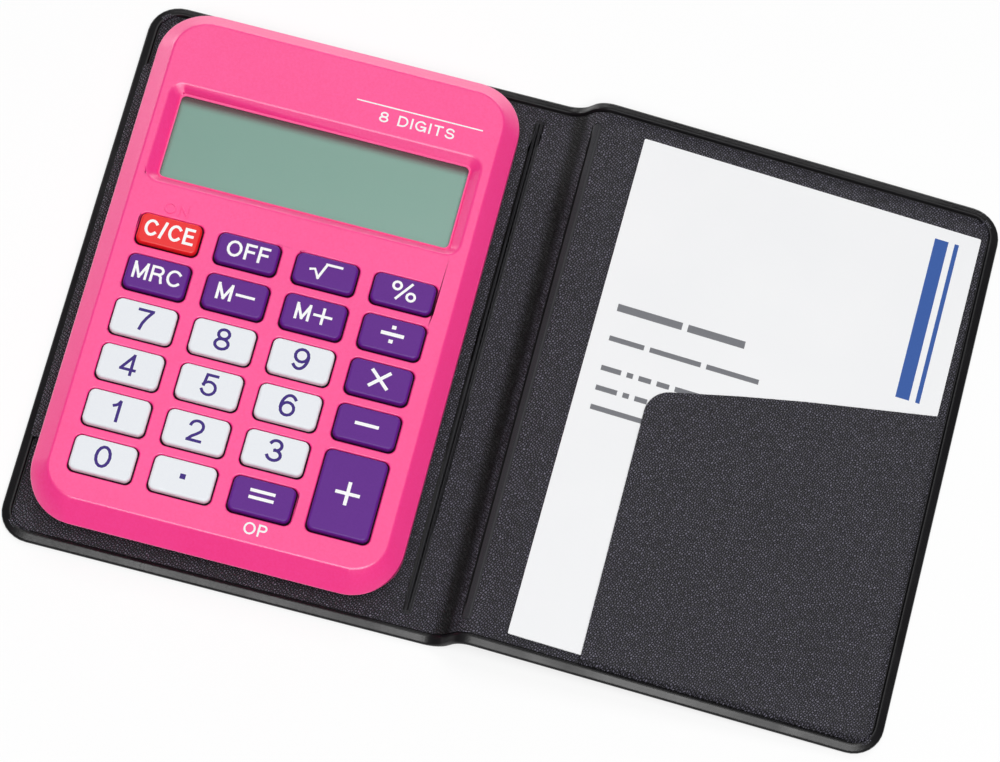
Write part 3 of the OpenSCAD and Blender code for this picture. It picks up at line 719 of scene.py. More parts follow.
def makePocket():
    # Top edge of the pocket as points across the cover and up from the wallet's middle
    pocket = {"start": 18.1, "end": 63.62, "under": 2.0, "thickness": 0.36, "lowInset": 1.78,
              "beyond": 20, "reach": 1.35, "lowReach": 0.75, "drop": 0.86, "edge": 0.08,
              "cornerRadius": 3.2, "endRadius": 3.1,
              "topEdge": [(18.1, 0.72), (31.8, 4.05), (42, 6.25), (52, 8.1), (63.7, 10.25)]}
    low = wallet["low"] + pocket["lowInset"]
    left, right = coverStart + pocket["start"], coverStart + pocket["end"]
    piece = addBox("cardPocket", (left, low, pocket["under"]),
                   (right, walletMiddle + pocket["beyond"],
                    pocket["under"] + pocket["thickness"]))
    points = [Vector((coverStart + u, walletMiddle + y, 0)) for u, y in pocket["topEdge"]]
    editPiece(piece)
    for first, second in zip(points, points[1:]):
        along = (second - first).normalized()
        sliceAll(first, (-along.y, along.x, 0), use_fill=True, clear_outer=True)
    bevelWhere(piece, lambda e: isUpright(e) and middleOf(e).x < left + tiny
               and middleOf(e).y > low + 1, pocket["cornerRadius"], 8)
    bevelWhere(piece, lambda e: isUpright(e) and middleOf(e).x > right - tiny
               and middleOf(e).y < low + 1, pocket["endRadius"], 8)
    bevelWhere(piece, lambda e: edgeAngle(e) > 1.2 and not isUpright(e), pocket["edge"], 2)
    leaveEdit()
    lowerEdge(piece, 0, right, pocket["reach"], pocket["drop"])
    lowerEdge(piece, 1, low, pocket["lowReach"], pocket["drop"], pocket["under"])
    piece.data.materials.append(materials["grain"])
    mapFlat(piece)
    place = onCover @ Matrix.Translation((-coverStart, 0, -wallet["middle"]))
    finishPiece(piece, "cover", [], ("card_pocket",), place)


makeFlap()
makePocket()
print("flap and pocket made")


# The card

def cardStock():
    material, tree, shader, place = startMaterial("cardStock", Specular_IOR_Level=0.4)
    fibre = useEffect(tree, "moulded", Vector=place, Size=0.0006, Depth=0.25)
    tone = blendColours(tree, fibre["Tone"], colour(245, 245, 246), colour(238, 239, 241))
    wire(tree, shader.inputs, Base_Color=tone, Normal=fibre["Normal"],
         Roughness=calculate(tree, "MULTIPLY_ADD", fibre["Speck"], 0.1, 0.5))
    return material


def makeCard():
    card = {"across": 34.6, "up": -1.12, "width": 55, "length": 85.2, "under": 0.86,
            "thickness": 0.29, "radius": 0.25, "edge": 0.05, "turn": -0.66, "ink": 0.012,
            "wordGap": 0.9}
    place = onCover @ Matrix.Translation((card["across"], walletMiddle + card["up"], 0)) \
        @ Matrix.Rotation(math.radians(card["turn"]), 4, "Z")
    half = Vector((card["width"] / 2, card["length"] / 2))
    top = card["under"] + card["thickness"]
    sheet = roundedSlab("businessCard", (-half.x, -half.y, card["under"]),
                        (half.x, half.y, top), card["radius"], card["edge"], 3)
    finishPiece(sheet, "card", [cardStock()], ("insert_card",), place)
    # Plain bars where a card has its printed lines: start, height, thickness, word lengths
    lines = [(10, 12.6, 1.25, (10.4, 9.2)), (10, 7.3, 0.85, (5.6, 8.2, 8.4)),
             (10, 2.2, 0.85, (3.2, 1, 2, 2, 4)), (10, -1.2, 0.85, (3.4, 1, 2, 2, 4)),
             (10, -4.5, 0.85, (14.5,))]
    inks = {"cardTextBars": plastic("greyPrint", colour(112, 113, 118), colour(124, 125, 130), 0.6),
            "cardColourBars": plastic("bluePrint", colour(44, 88, 164), colour(38, 80, 156), 0.55)}
    bars = {"cardTextBars": [], "cardColourBars": [((20.4, 11.6), (22.6, 39.4)),
                                                   ((23.6, 11.6), (24.3, 39.4))]}
    for start, height, thick, words in lines:
        across = start - card["across"]
        for word in words:
            bars["cardTextBars"].append(((across, height - thick / 2),
                                         (across + word, height + thick / 2)))
            across += word + card["wordGap"]
    for name, ink in inks.items():
        pieces = [addBox(name, (low[0], low[1] - card["up"], top - card["ink"] / 2),
                         (high[0], high[1] - card["up"], top + card["ink"]))
                  for low, high in bars[name]]
        makeActive(pieces[0])
        for piece in pieces:
            piece.select_set(True)
        bpy.ops.object.join()
        finishPiece(bpy.context.object, "card", [ink], (), place)


makeCard()
print("card made")


# The calculator's case

case = {"halfWidth": 29, "halfLength": 43.5, "split": 6.3, "shoulder": 8.3, "top": 10.6,
        "under": 1.9, "openingEdge": 0.24, "frameEdge": 0.3, "creaseEdge": 0.3,
        "shoulderEdge": 0.22, "seamEdge": 0.12, "floorEdge": 0.5,
        "straight": (21, 35.5), "corner": 8, "nearDrop": 0.9, "nearReach": 0.5, "seamIn": 0.17,
        "topInset": 3.2, "topCorner": 3, "keysEnd": 10, "keysSide": 24.5, "floor": (22, 36)}
frameShape = {"middle": 21.1, "innerZ": 9.4, "depth": 1.2, "reach": (24.6, 8.3),
              "inner": (-0.02, 0, -0.15, 0.5), "outer": (-0.6, 0.4, -0.15, 0.73),
              "ledge": (23.22, 28.74), "ledgeHole": (22.98, 14.2, 28.34), "ledgeZ": (9.42, 9.62),
              "ledgeEdge": 0.05}
keyShape = {"width": 9.2975, "height": 5.508, "shortHeight": 4.708, "tallHeight": 13.166,
            "top": 11.4, "body": 9.4, "collarTop": 9.4, "collarUnder": 8.8, "stemUnder": 8.0,
            "collar": 0.72, "cornerRadius": 1.05, "topRounding": 0.42, "shadeUnder": 10.45,
            "gap": 0.22, "capBack": 0.1, "columns": [-18.55, -6.18, 6.18, 18.55],
            "rows": [4.846, -2.8125, -10.471, -18.129, -25.7875, -33.446],
            "columnShift": [0.02, 0.02, 0, -0.06],
            # How far each row's sides move out: left, right, lower and upper
            "fit": {0: (-0.27, 0.06, -0.52, -0.1), 1: (-0.2, 0.1, -0.19, 0.14),
                    2: (-0.19, 0.13, -0.22, 0.14), 3: (-0.16, 0.16, -0.27, 0.08),
                    4: (-0.13, 0.2, -0.35, 0.02), 5: (-0.1, 0.24, -0.43, -0.12),
                    4.5: (-0.14, 0.16, -0.3, 0.01)}}

# Node, column, row, finish, signs, their width and height, the pen's width, and their shift
keys = [
    ("key_clear", 0, 0, "red", "C/CE", 7.85, 2.8, 0.46, -0.06, -0.2),
    ("key_off", 1, 0, "purple", "OFF", 6.7, 2.75, 0.43, 0, -0.18),
    ("key_root", 2, 0, "purple", "r", 5.0, 3.05, 0.4, -0.14, -0.3),
    ("key_percent", 3, 0, "purple", "%", 4.1, 3.15, 0.41, -0.1, -0.14),
    ("key_memory_recall", 0, 1, "purple", "MRC", 7.6, 2.8, 0.41, -0.02, 0.14),
    ("key_memory_minus", 1, 1, "purple", "M-", 6.0, 2.8, 0.44, 0, 0.14),
    ("key_memory_plus", 2, 1, "purple", "M+", 5.8, 2.8, 0.43, -0.06, 0.14),
    ("key_divide", 3, 1, "purple", ":", 3.64, 2.96, 0.6, -0.06, 0.13),
    ("key_7", 0, 2, "white", "7", 2.57, 3.58, 0.49, 0.04, 0.03),
    ("key_8", 1, 2, "white", "8", 2.58, 3.74, 0.5, 0.02, 0.1),
    ("key_9", 2, 2, "white", "9", 2.62, 3.74, 0.5, -0.04, 0.14),
    ("key_multiply", 3, 2, "purple", "x", 3.12, 3.0, 0.54, -0.08, 0.12),
    ("key_4", 0, 3, "white", "4", 2.65, 3.6, 0.47, -0.2, -0.02),
    ("key_5", 1, 3, "white", "5", 2.6, 3.7, 0.47, 0.08, -0.02),
    ("key_6", 2, 3, "white", "6", 2.62, 3.78, 0.49, -0.04, -0.02),
    ("key_minus", 3, 3, "purple", "-", 3.74, 0.56, 0.54, -0.08, 0.02),
    ("key_1", 0, 4, "white", "1", 1.34, 3.62, 0.49, -0.13, -0.17),
    ("key_2", 1, 4, "white", "2", 2.58, 3.7, 0.48, 0.02, -0.07),
    ("key_3", 2, 4, "white", "3", 2.57, 3.76, 0.51, 0, 0),
    ("key_plus", 3, 4.5, "purple", "+", 3.8, 3.85, 0.55, -0.1, -0.02),
    ("key_0", 0, 5, "white", "0", 2.6, 3.7, 0.5, 0.04, -0.2),
    ("key_point", 1, 5, "white", ".", 0.88, 0.9, 0.86, 0.04, -0.08),
    ("key_equals", 2, 5, "purple", "=", 3.9, 1.66, 0.52, -0.04, 0.06),
]


def keyPlace(column, row):
    # The middle of a key, its height, and how its four sides move
    x = keyShape["columns"][column]
    left, right, low, high = keyShape["fit"][row]
    shift = keyShape["columnShift"][column]
    if row == 4.5:
        y, height = sum(keyShape["rows"][4:]) / 2, keyShape["tallHeight"]
    else:
        y = keyShape["rows"][row]
        height = keyShape["height"] if row else keyShape["shortHeight"]
    return x, y, height, (left + shift, right + shift, low, high)


def moveSides(piece, centre, reach, above, sides):
    # Moves an outline's left, right, lower and upper half, each by its own amount
    for vert in piece.data.vertices:
        x, y = vert.co.x - centre[0], vert.co.y - centre[1]
        if abs(x) < reach[0] and abs(y) < reach[1] and vert.co.z > above:
            vert.co.x += sides[0] if x < 0 else sides[1]
            vert.co.y += sides[2] if y < 0 else sides[3]


def moveFrame(piece):
    # The display frame's slope, whose upper and lower outline move by different amounts
    middle, reach = frameShape["middle"], frameShape["reach"]
    for vert in piece.data.vertices:
        x, y, z = vert.co.x, vert.co.y - middle, vert.co.z
        share = (z - frameShape["innerZ"]) / frameShape["depth"]
        inner = share < 0.01 and abs(x) < 23.15 and abs(y) < 6.85
        if abs(x) < reach[0] and abs(y) < reach[1] and (inner or share > 0.1):
            left, right, low, high = [a + (b - a) * share for a, b in
                                      zip(frameShape["inner"], frameShape["outer"])]
            vert.co.x += left if x < 0 else right
            vert.co.y += low if y < 0 else high


def onOutline(place):
    # Whether a place lies on the case's outer wall
    beyond = [max(0, abs(place[axis]) - case["straight"][axis]) for axis in (0, 1)]
    return math.hypot(*beyond) > case["corner"] - 0.3


def lowerNearEdge(piece):
    # At the near end the slope runs further down and the side leans in under it
    for vert in piece.data.vertices:
        part = min(1, max(0, (-vert.co.y - case["straight"][1]) / case["corner"]))
        part = part * part * (3 - 2 * part)
        if not onOutline(vert.co):
            continue
        if abs(vert.co.z - case["shoulder"]) < 0.01:
            vert.co.z -= case["nearDrop"] * part
            vert.co.y -= case["nearReach"] * part
        elif abs(vert.co.z - case["split"]) < 0.01:
            vert.co.y += case["seamIn"] * part


def makeUpperCase():
    piece = copyOfNode("upper_case", "upperCase")
    gap = keyShape["gap"] + 0.05
    for column, row in {(key[1], key[2]) for key in keys}:
        x, y, height, sides = keyPlace(column, row)
        moveSides(piece, (x, y), (keyShape["width"] / 2 + gap, height / 2 + gap),
                  keyShape["body"] - 0.1, sides)
    moveFrame(piece)
    lowerNearEdge(piece)
    nearSide = case["halfWidth"] - case["topInset"]
    nearEnd = case["halfLength"] - case["topInset"]
    lowest = case["shoulder"] - case["nearDrop"] - 0.01

    def isTop(edge, outer):
        # The top's sharp edges, on its outline or on its openings
        x, y = (abs(c) for c in middleOf(edge).xy)
        outside = x > nearSide or y > nearEnd or \
            (x > nearSide - case["topCorner"] and y > nearEnd - case["topCorner"])
        return allAt(edge, case["top"]) and edgeAngle(edge) > 0.35 and outside == outer

    def isShoulder(edge):
        return all(lowest < vert.co.z < case["shoulder"] + 0.01 for vert in edge.verts) \
            and edgeAngle(edge) > 0.3 and onOutline(middleOf(edge))

    def isSeam(edge):
        return allAt(edge, case["split"]) and edgeAngle(edge) > 0.3 and onOutline(middleOf(edge))

    def isOpeningWall(face):
        c = face.calc_center_median()
        return abs(face.normal.z) < 0.2 and c.y < case["keysEnd"] - 1 \
            and abs(c.x) < case["keysSide"] and case["shoulder"] + 1 < c.z < case["top"]

    editPiece(piece)
    bevelWhere(piece, lambda e: isTop(e, False) and middleOf(e).y < case["keysEnd"],
               case["openingEdge"], 3, False)
    bevelWhere(piece, lambda e: isTop(e, False) and middleOf(e).y > case["keysEnd"],
               case["frameEdge"], 4, False)
    bevelWhere(piece, lambda e: isTop(e, True), case["creaseEdge"], 2)
    bevelWhere(piece, isShoulder, case["shoulderEdge"], 3)
    bevelWhere(piece, isSeam, case["seamEdge"], 2)
    piece.data.materials.append(materials["pink"])
    piece.data.materials.append(materials["pinkShade"])
    # The walls of the key openings take the darker pink of painted shade
    paintWhere(piece, 1, isOpeningWall)
    leaveEdit()
    finishPiece(piece, "base", [], ("upper_case",), angle=32)


def makeLowerCase():
    piece = copyOfNode("lower_case", "lowerCase")
    lowerNearEdge(piece)
    editPiece(piece)
    side, end = case["floor"]
    bevelWhere(piece, lambda e: allAt(e, case["under"]) and edgeAngle(e) > 0.3
               and (abs(middleOf(e).x) > side or abs(middleOf(e).y) > end), case["floorEdge"], 3)
    leaveEdit()
    finishPiece(piece, "base", [materials["pink"]], ("lower_case",), angle=32)


def makeLedge():
    # The flat step at the foot of the frame's slope
    wide, high = frameShape["ledge"]
    hole, lowHole, highHole = frameShape["ledgeHole"]
    low, top = frameShape["ledgeZ"]
    piece = roundedSlab("frameLedge", (-wide, lowHole - 0.2, low), (wide, high, top), 0.9, 0, 6)
    cutWith(piece, roundedSlab("ledgeTool", (-hole, lowHole, low - 1), (hole, highHole, top + 1),
                               0.8, 0, 6))
    editPiece(piece)
    bevelWhere(piece, lambda e: allAt(e, top) and abs(middleOf(e).x) < hole + 0.01
               and lowHole - 0.01 < middleOf(e).y < highHole + 0.01, frameShape["ledgeEdge"], 2)
    leaveEdit()
    finishPiece(piece, "base", [materials["pink"]])


makeUpperCase()
makeLowerCase()
makeLedge()
print("case made")


# Lettering and signs

sign = {"thick": 0.014, "arcSteps": 14, "gap": 0.16}


def arc(x, y, width, height, start, end):
    # Points of an arc in a box of one unit, between two angles
    turns = [math.radians(start + (end - start) * step / sign["arcSteps"])
             for step in range(sign["arcSteps"] + 1)]
    return [(x + width * math.cos(turn), y + height * math.sin(turn)) for turn in turns]


# Each sign: its width for a height of one, and its pen strokes in a box of one by one
signs = {
    "0": (0.56, [arc(0.5, 0.5, 0.5, 0.5, 0, 360)]),
    "1": (0.28, [[(0, 0.76), (0.35, 0.8), (0.7, 0.88), (0.95, 1)], [(1, 0), (1, 0.98)]]),
    "2": (0.56, [arc(0.49, 0.71, 0.47, 0.29, 168, -12) + [(0.88, 0.52), (0.62, 0.36), (0.3, 0.2),
                                                        (0.08, 0.03)], [(0.04, 0), (0.97, 0)]]),
    "3": (0.56, [arc(0.47, 0.75, 0.43, 0.25, 155, -90), arc(0.47, 0.26, 0.5, 0.26, 85, -160)]),
    "4": (0.6, [[(0.74, 0), (0.74, 1)], [(0.7, 0.96), (0.02, 0.27)], [(0, 0.24), (0.98, 0.24)]]),
    "5": (0.56, [[(0.18, 1), (0.9, 1)], [(0.17, 0.99), (0.07, 0.47)],
                 arc(0.47, 0.33, 0.5, 0.33, 148, -158)]),
    "6": (0.56, [arc(0.5, 0.32, 0.48, 0.32, 0, 360), arc(0.56, 0.42, 0.56, 0.58, 48, 184)]),
    "7": (0.56, [[(0.02, 1), (1, 1)], [(0.98, 0.96), (0.66, 0.62), (0.44, 0.3), (0.34, 0)]]),
    "8": (0.56, [arc(0.5, 0.76, 0.41, 0.24, 0, 360), arc(0.5, 0.26, 0.5, 0.26, 0, 360)]),
    "9": (0.56, [arc(0.5, 0.68, 0.48, 0.32, 0, 360), arc(0.44, 0.58, 0.56, 0.58, 228, 364)]),
    "C": (0.68, [arc(0.53, 0.5, 0.53, 0.5, 42, 318)]),
    "D": (0.62, [[(0, 0), (0, 1)], [(0.05, 1), (0.35, 1)] + arc(0.42, 0.5, 0.58, 0.5, 90, -90)
                 + [(0.35, 0), (0.05, 0)]]),
    "E": (0.52, [[(0, 0), (0, 1)], [(0.05, 1), (0.95, 1)], [(0.05, 0.53), (0.88, 0.53)],
                 [(0.05, 0), (1, 0)]]),
    "F": (0.5, [[(0, 0), (0, 1)], [(0.05, 1), (1, 1)], [(0.05, 0.52), (0.88, 0.52)]]),
    "G": (0.7, [arc(0.5, 0.5, 0.5, 0.5, 45, 345), [(0.56, 0.45), (0.98, 0.45)],
                [(1, 0.42), (1, 0.03)]]),
    "I": (0.02, [[(0.5, 0), (0.5, 1)]]),
    "M": (0.68, [[(0, 0), (0, 1)], [(0.03, 0.93), (0.5, 0.06)], [(0.5, 0.06), (0.97, 0.93)],
                 [(1, 0), (1, 1)]]),
    "N": (0.58, [[(0, 0), (0, 1)], [(0.03, 0.95), (0.97, 0.05)], [(1, 0), (1, 1)]]),
    "O": (0.76, [arc(0.5, 0.5, 0.5, 0.5, 0, 360)]),
    "P": (0.54, [[(0, 0), (0, 1)], [(0.05, 1), (0.5, 1)] + arc(0.6, 0.74, 0.4, 0.26, 90, -90)
                 + [(0.5, 0.48), (0.05, 0.48)]]),
    "R": (0.58, [[(0, 0), (0, 1)], [(0.05, 1), (0.5, 1)] + arc(0.6, 0.75, 0.38, 0.25, 90, -90)
                 + [(0.5, 0.5), (0.05, 0.5)], [(0.7, 0.46), (0.88, 0.36), (0.93, 0.14), (1, 0)]]),
    "S": (0.56, [arc(0.5, 0.75, 0.44, 0.25, 20, 235) + arc(0.5, 0.26, 0.5, 0.26, 60, -160)]),
    "T": (0.56, [[(0, 1), (1, 1)], [(0.5, 0), (0.5, 0.95)]]),
    "/": (0.24, [[(0, -0.02), (1, 1.02)]]),
    "%": (1.0, [arc(0.17, 0.76, 0.17, 0.23, 0, 360), arc(0.83, 0.24, 0.17, 0.23, 0, 360),
                [(0.24, 0), (0.76, 1)]]),
    "-": (0.86, [[(0, 0.5), (1, 0.5)]]),
    "+": (0.9, [[(0, 0.5), (1, 0.5)], [(0.5, 0.0), (0.5, 1.0)]]),
    "x": (0.96, [[(0, 0), (1, 1)], [(0, 1), (1, 0)]]),
    ":": (1.4, [[(0, 0.5), (1, 0.5)], [(0.49, 0), (0.51, 0)], [(0.49, 1), (0.51, 1)]]),
    "=": (2.0, [[(0, 0), (1, 0)], [(0, 1), (1, 1)]]),
    ".": (1.0, [[(0, 0.5), (1, 0.5)]]),
    "r": (1.9, [[(0, 0.5), (0.14, 0.57), (0.3, 0.06)], [(0.3, 0.06), (0.5, 0.97)],
                [(0.5, 1), (1, 1)]]),
    " ": (0.2, []),
}


def drawStrokes(name, strokes, width, z):
    # Pen strokes as flat bars with square ends
    curve = bpy.data.curves.new(name, "CURVE")
    curve.dimensions = "3D"
    curve.bevel_depth = width / 2
    curve.bevel_resolution = 2
    curve.use_fill_caps = True
    for points in strokes:
        points = [Vector(point) for point in points]
        closed = (points[0] - points[-1]).length < tiny
        if closed:
            points = points[:-1]
        else:
            points[0] += (points[0] - points[1]).normalized() * width / 2
            points[-1] += (points[-1] - points[-2]).normalized() * width / 2
        line = curve.splines.new("POLY")
        line.points.add(len(points) - 1)
        for place, point in zip(line.points, points):
            place.co = (point.x, point.y, 0, 1)
        line.use_cyclic_u = closed
    makeActive(addPiece(name, curve))
    bpy.ops.object.convert(target="MESH")
    piece = bpy.context.object
    piece.scale.z = 2 * sign["thick"] / width
    piece.location.z = z
    bpy.ops.object.transform_apply()
    return piece


def makeLegend(name, words, size, place, pen, z):
    # A row of signs that fills a given width and height around a place
    gap = sign["gap"] + pen / size[1]
    natural = sum(signs[letter][0] for letter in words) + gap * (len(words) - 1)
    wide = (size[0] - pen) / natural
    tall = size[1] - pen
    strokes = []
    left = place[0] - (size[0] - pen) / 2
    low = place[1] - tall / 2
    for letter in words:
        width, shape = signs[letter]
        strokes += [[(left + x * width * wide, low + y * tall) for x, y in stroke]
                    for stroke in shape]
        left += (width + gap) * wide
    return drawStrokes(name, strokes, pen, z)


# The keys

def makeKeyCap(height):
    # A cap with soft upper edges, the collar that holds it in, and its stem
    halfX, halfY = keyShape["width"] / 2, height / 2
    cap = roundedSlab("keyCap", (-halfX, -halfY, keyShape["body"]),
                      (halfX, halfY, keyShape["top"]), keyShape["cornerRadius"], 0, 6)
    editPiece(cap)
    bevelWhere(cap, lambda e: allAt(e, keyShape["top"]), keyShape["topRounding"], 5)
    pick(cap, "FACE", lambda f: f.normal.z < -level)
    bpy.ops.mesh.extrude_region_move()
    wider = [1 + keyShape["collar"] / halfX, 1 + keyShape["collar"] / halfY, 1]
    bpy.ops.transform.resize(value=wider)
    bpy.ops.mesh.extrude_region_move(TRANSFORM_OT_translate={
        "value": (0, 0, keyShape["collarUnder"] - keyShape["collarTop"])})
    bpy.ops.mesh.inset(thickness=halfY * 0.75)
    bpy.ops.mesh.extrude_region_move(TRANSFORM_OT_translate={
        "value": (0, 0, keyShape["stemUnder"] - keyShape["collarUnder"])})
    bpy.ops.mesh.select_all(action="SELECT")
    bpy.ops.mesh.bisect(plane_co=(0, 0, keyShape["shadeUnder"]), plane_no=(0, 0, 1))
    leaveEdit()
    # Below shadeUnder, inside the gap, the cap's sides and collar take painted shade
    cap.data.materials.append(materials["white"])
    cap.data.materials.append(materials["gapShade"])
    for face in cap.data.polygons:
        face.material_index = int(face.center.z < keyShape["shadeUnder"])
    return cap


# The finish and the slot of dark print, for white keys, and of light print
printOn = {"dark": ("indigoPrint", "purple_key_plastic"),
           "light": ("whitePrint", "white_key_plastic")}
caps = {height: makeKeyCap(height) for height in
        (keyShape["height"], keyShape["shortHeight"], keyShape["tallHeight"])}
for nodeName, column, row, kind, words, wide, tall, pen, right, up in keys:
    x, y, height, sides = keyPlace(column, row)
    cap = addPiece(nodeName.replace("key_", "cap_"), caps[height].data.copy())
    cap.data.materials[0] = materials[kind]
    moveSides(cap, (0, 0), (keyShape["width"] / 2 + 0.05, height / 2 + 0.05),
              keyShape["body"] - 0.01, sides[:3] + (sides[3] - keyShape["capBack"],))
    finishPiece(cap, nodeName, [], (nodeName,),
                Matrix.Translation((x, y, 0)))
    printed = makeLegend(nodeName.replace("key_", "legend_"), words, (wide, tall),
                         (x + right, y + up), pen, keyShape["top"])
    ink, slot = printOn["dark" if kind == "white" else "light"]
    finishPiece(printed, nodeName, [materials[ink]])
for cap in caps.values():
    bpy.data.objects.remove(cap)

# Signs on the case: their words, width and height, middle, pen, finish and slot
onCase = [("legendOn", "ON", (3.9, 1.9), (-18.67, 8.9), 0.3, "pink", "case_plastic"),
          ("legendBelowEquals", "OP", (3.6, 2.0), (6.5, -38.6), 0.3, *printOn["light"]),
          ("legendDigits", "8 DIGITS", (12, 1.8), (13.37, 32.7), 0.28, *printOn["light"])]
for name, words, size, place, pen, ink, slot in onCase:
    piece = makeLegend(name, words, size, place, pen, case["top"])
    if ink == "pink":
        editPiece(piece)
        # This one is moulded, so it stands up from the case
        pick(piece, "VERT", lambda vert: vert.co.z > case["top"] + 0.001)
        bpy.ops.transform.translate(value=(0, 0, 0.1))
        leaveEdit()
    finishPiece(piece, "base", [materials[ink]])
rule = drawStrokes("ruleLine", [[(3.4, 34.55), (23.34, 34.55)]], 0.22, case["top"])
finishPiece(rule, "base", [materials["whitePrint"]])
print("keys and legends made")


# The display

def clearWindow():
    material, tree, shader, place = startMaterial("clearWindow", Alpha=0.05, IOR=1.49)
    marks = useEffect(tree, "marks", Vector=place, Amount=0.5)
    tone = blendColours(tree, marks["Mask"], colour(236, 244, 240), colour(214, 224, 220))
    wire(tree, shader.inputs, Base_Color=tone,
         Roughness=calculate(tree, "MULTIPLY_ADD", marks["Mask"], 0.2, 0.04))
    return material


def lcdGlass():
    # Grey-green polariser, slightly uneven, under a glossy front
    glass = {"sides": (-0.023, 0.023), "upperShade": (0.0267, 0.0284),
             "leftShade": (-0.0222, -0.0237)}
    material, tree, shader, place = startMaterial("lcdGlass", Specular_IOR_Level=0.3)
    texture = useEffect(tree, "moulded", Vector=place, Size=0.0003, Depth=0.05)
    parts = addNode(tree, "SeparateXYZ", {0: place}).outputs
    across = ramp(tree, parts[0], *glass["sides"], "LINEAR")
    uneven = calculate(tree, "MULTIPLY_ADD", texture["Speck"], 0.8, -0.15)
    tone = calculate(tree, "MULTIPLY_ADD", across, 0.5, uneven)
    # The frame's shade along the upper and the left edge
    shade = calculate(tree, "MAXIMUM", ramp(tree, parts[1], *glass["upperShade"]),
                      ramp(tree, parts[0], *glass["leftShade"]))
    plain = blendColours(tree, tone, colour(109, 154, 139), colour(127, 168, 154))
    wire(tree, shader.inputs, Base_Color=blendColours(tree, shade, plain, colour(84, 24, 38)),
         Roughness=spread(tree, texture["Speck"], 0.3, 0.42), Normal=texture["Normal"])
    return material


def makeWindow():
    window = {"halfWidth": 24.6, "low": 12.85, "high": 29.35, "under": 8.63, "top": 9.36,
              "radius": 0.8, "edge": 0.06}
    piece = roundedSlab("displayWindow", (-window["halfWidth"], window["low"], window["under"]),
                        (window["halfWidth"], window["high"], window["top"]),
                        window["radius"], window["edge"], 4)
    finishPiece(piece, "base", [clearWindow()], ("display_window",))


makeWindow()
print("display made")


# Finishes of the CAD pieces that stay

def striped(name, first, second, scale, roughness):
    material, tree, shader, place = startMaterial(name)
    wave = addNode(tree, "TexWave",
                   {"Vector": place, "Scale": scale, "Distortion": 0.4, "Detail": 1},
                   bands_direction="X")
    texture = useEffect(tree, "moulded", Vector=place, Size=0.0004, Depth=0.3)
    wire(tree, shader.inputs, Normal=texture["Normal"],
         Base_Color=blendColours(tree, wave.outputs["Fac"], first, second),
         Roughness=calculate(tree, "MULTIPLY_ADD", texture["Speck"], 0.2, roughness))
    return material


steel = dict(Metallic=1.0)
nodeFinishes = {
    "lcd_panel": lcdGlass(),
    "lcd_reflector": plastic("reflectorFoil", colour(205, 206, 208), colour(188, 190, 192), 0.3,
                             Metallic=0.9),
    "zebra_connector": striped("zebraRubber", colour(40, 40, 42), colour(150, 150, 148), 2500, 0.6),
    "circuit_board": striped("boardLaminate", colour(24, 92, 52), colour(40, 120, 72), 420, 0.35),
    "chip_cap": plastic("chipResin", colour(22, 22, 23), colour(32, 31, 31), 0.25, 0.0006, 0.3),
    "key_mat": plastic("matSilicone", colour(214, 214, 206), colour(200, 200, 192), 0.55,
                       0.0005, 0.4),
    "battery_cell": plastic("cellSteel", colour(196, 197, 200), colour(176, 177, 180), 0.28,
                            0.0003, 0.3, **steel),
    "battery_contact_negative": plastic("contactMetal", colour(206, 200, 184),
                                        colour(186, 180, 164), 0.32, 0.0003, 0.3, **steel),
    "case_screws": plastic("screwSteel", colour(170, 171, 174), colour(150, 151, 154), 0.35,
                           0.0002, 0.4, **steel),
    "adhesive_pad": plastic("padTape", colour(206, 204, 192), colour(194, 192, 178), 0.7,
                            0.0005, 0.5),
    "base_board": plastic("greyBoard", colour(150, 144, 134), colour(134, 128, 118), 0.8,
                          0.0005, 0.7),
}
nodeFinishes["battery_contact_positive"] = nodeFinishes["battery_contact_negative"]
nodeFinishes["board_screws"] = nodeFinishes["case_screws"]
nodeFinishes["cover_board"] = nodeFinishes["base_board"]
for nodeName, finish in nodeFinishes.items():
    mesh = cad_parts[nodeName].data
    if not mesh.materials:
        mesh.materials.append(finish)
    for index in range(len(mesh.materials)):
        mesh.materials[index] = finish
print("finishes given")


# Floor, light and camera

def makeFloor():
    deselectAll()
    bpy.ops.mesh.primitive_plane_add(size=6, location=(0.03, 0, 0))
    floor = bpy.context.object
    floor.name = "floor"
    material, tree, shader, _ = startMaterial("paleFloor", Roughness=0.9, Specular_IOR_Level=0.0,
                                              Base_Color=(0.97, 0.97, 0.97, 1))
    path = addNode(tree, "LightPath").outputs
    seen = calculate(tree, "MAXIMUM", path["Is Camera Ray"],
                     calculate(tree, "MAXIMUM", path["Is Glossy Ray"], path["Is Transmission Ray"]))
    glow = addNode(tree, "Emission", {"Color": (1, 1, 1, 1), "Strength": 1})
    mix = addNode(tree, "MixShader", {0: calculate(tree, "MULTIPLY", seen, 0.75),
                                      1: shader.outputs[0], 2: glow.outputs[0]})
    tree.links.new(mix.outputs[0], tree.nodes["Material Output"].inputs["Surface"])
    floor.data.materials.append(material)


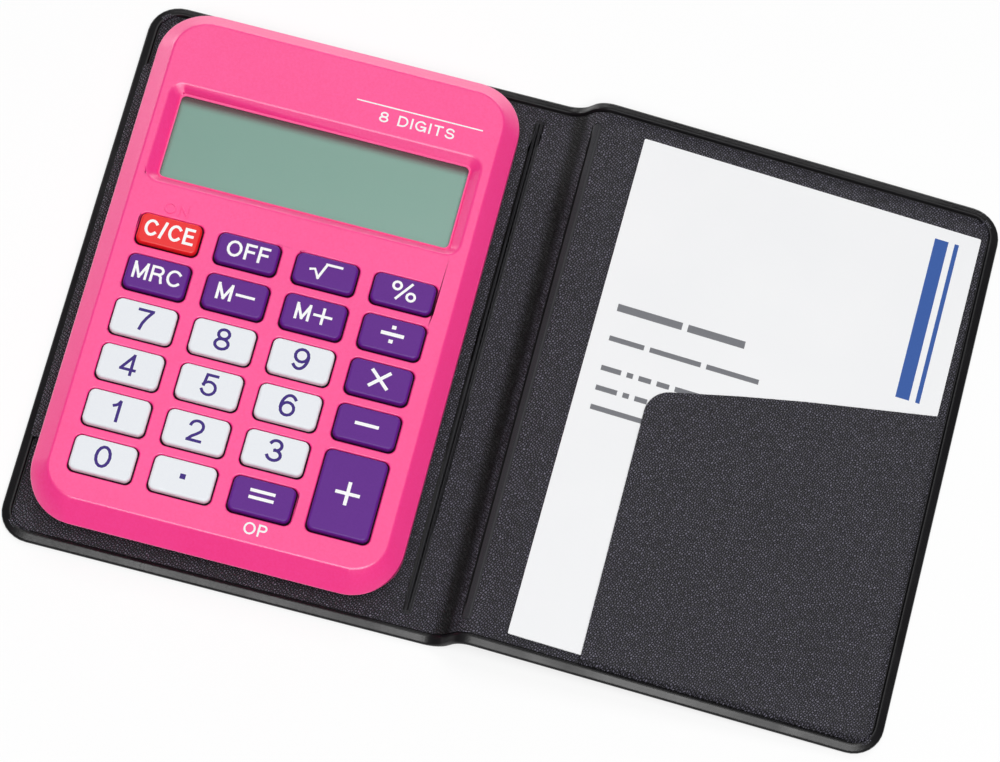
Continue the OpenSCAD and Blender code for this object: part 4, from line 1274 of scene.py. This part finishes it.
def makeLights():
    # Each lamp: its place, its width and height, and its brightness
    lamps = {"overhead": ((-0.04, 0.5, 1.1), (1.0, 0.7), 1.5),
             "key": ((0.2, -0.4, 1.11), (0.8, 0.6), 7.95),
             "back": ((0.0, 1.35, 0.13), (1.3, 0.26), 5.4),
             "left": ((-1.2, 0.85, 0.15), (0.5, 0.25), 8.0)}
    target = Vector((0.03, 0, 0))
    for name, (place, size, bright) in lamps.items():
        deselectAll()
        bpy.ops.object.light_add(type="AREA", location=place)
        lamp = bpy.context.object
        lamp.name = name + "Lamp"
        lamp.data.shape = "RECTANGLE"
        lamp.data.size, lamp.data.size_y = size
        lamp.data.energy = bright * math.pi * size[0] * size[1]
        lamp.rotation_euler = (target - Vector(place)).to_track_quat("-Z", "Y").to_euler()
    world = bpy.data.worlds.new("studio")
    bpy.context.scene.world = world
    world.use_nodes = True
    tree = world.node_tree
    soft = tree.nodes["Background"]
    wire(tree, soft.inputs, Color=(1, 1, 1, 1), Strength=0.07)
    path = addNode(tree, "LightPath").outputs
    bright = addNode(tree, "Background", {"Color": (1, 1, 1, 1), "Strength": 1})
    mix = addNode(tree, "MixShader", {0: path["Is Camera Ray"], 1: soft.outputs[0],
                                      2: bright.outputs[0]})
    tree.links.new(mix.outputs[0], tree.nodes["World Output"].inputs["Surface"])


def makeCamera():
    view = {"place": (64.81, -325.016, 781.672), "lens": 197.687, "sensor": 36,
            "right": (0.968308, 0.241405, 0.064062), "down": (0.24739, -0.89177, -0.378872),
            "ahead": (-0.034333, 0.382713, -0.923229)}
    deselectAll()
    bpy.ops.object.camera_add(location=[c * millimetre for c in view["place"]])
    camera = bpy.context.object
    camera.name = "camera"
    turn = Matrix((view["right"], [-c for c in view["down"]],
                   [-c for c in view["ahead"]])).transposed()
    camera.rotation_euler = turn.to_euler()
    camera.data.sensor_width = view["sensor"]
    camera.data.lens = view["lens"]
    camera.data.clip_start = 0.05
    camera.data.clip_end = 20
    bpy.context.scene.camera = camera


makeFloor()
makeLights()
makeCamera()
bpy.context.scene.view_settings.view_transform = "Standard"
print("stage set")
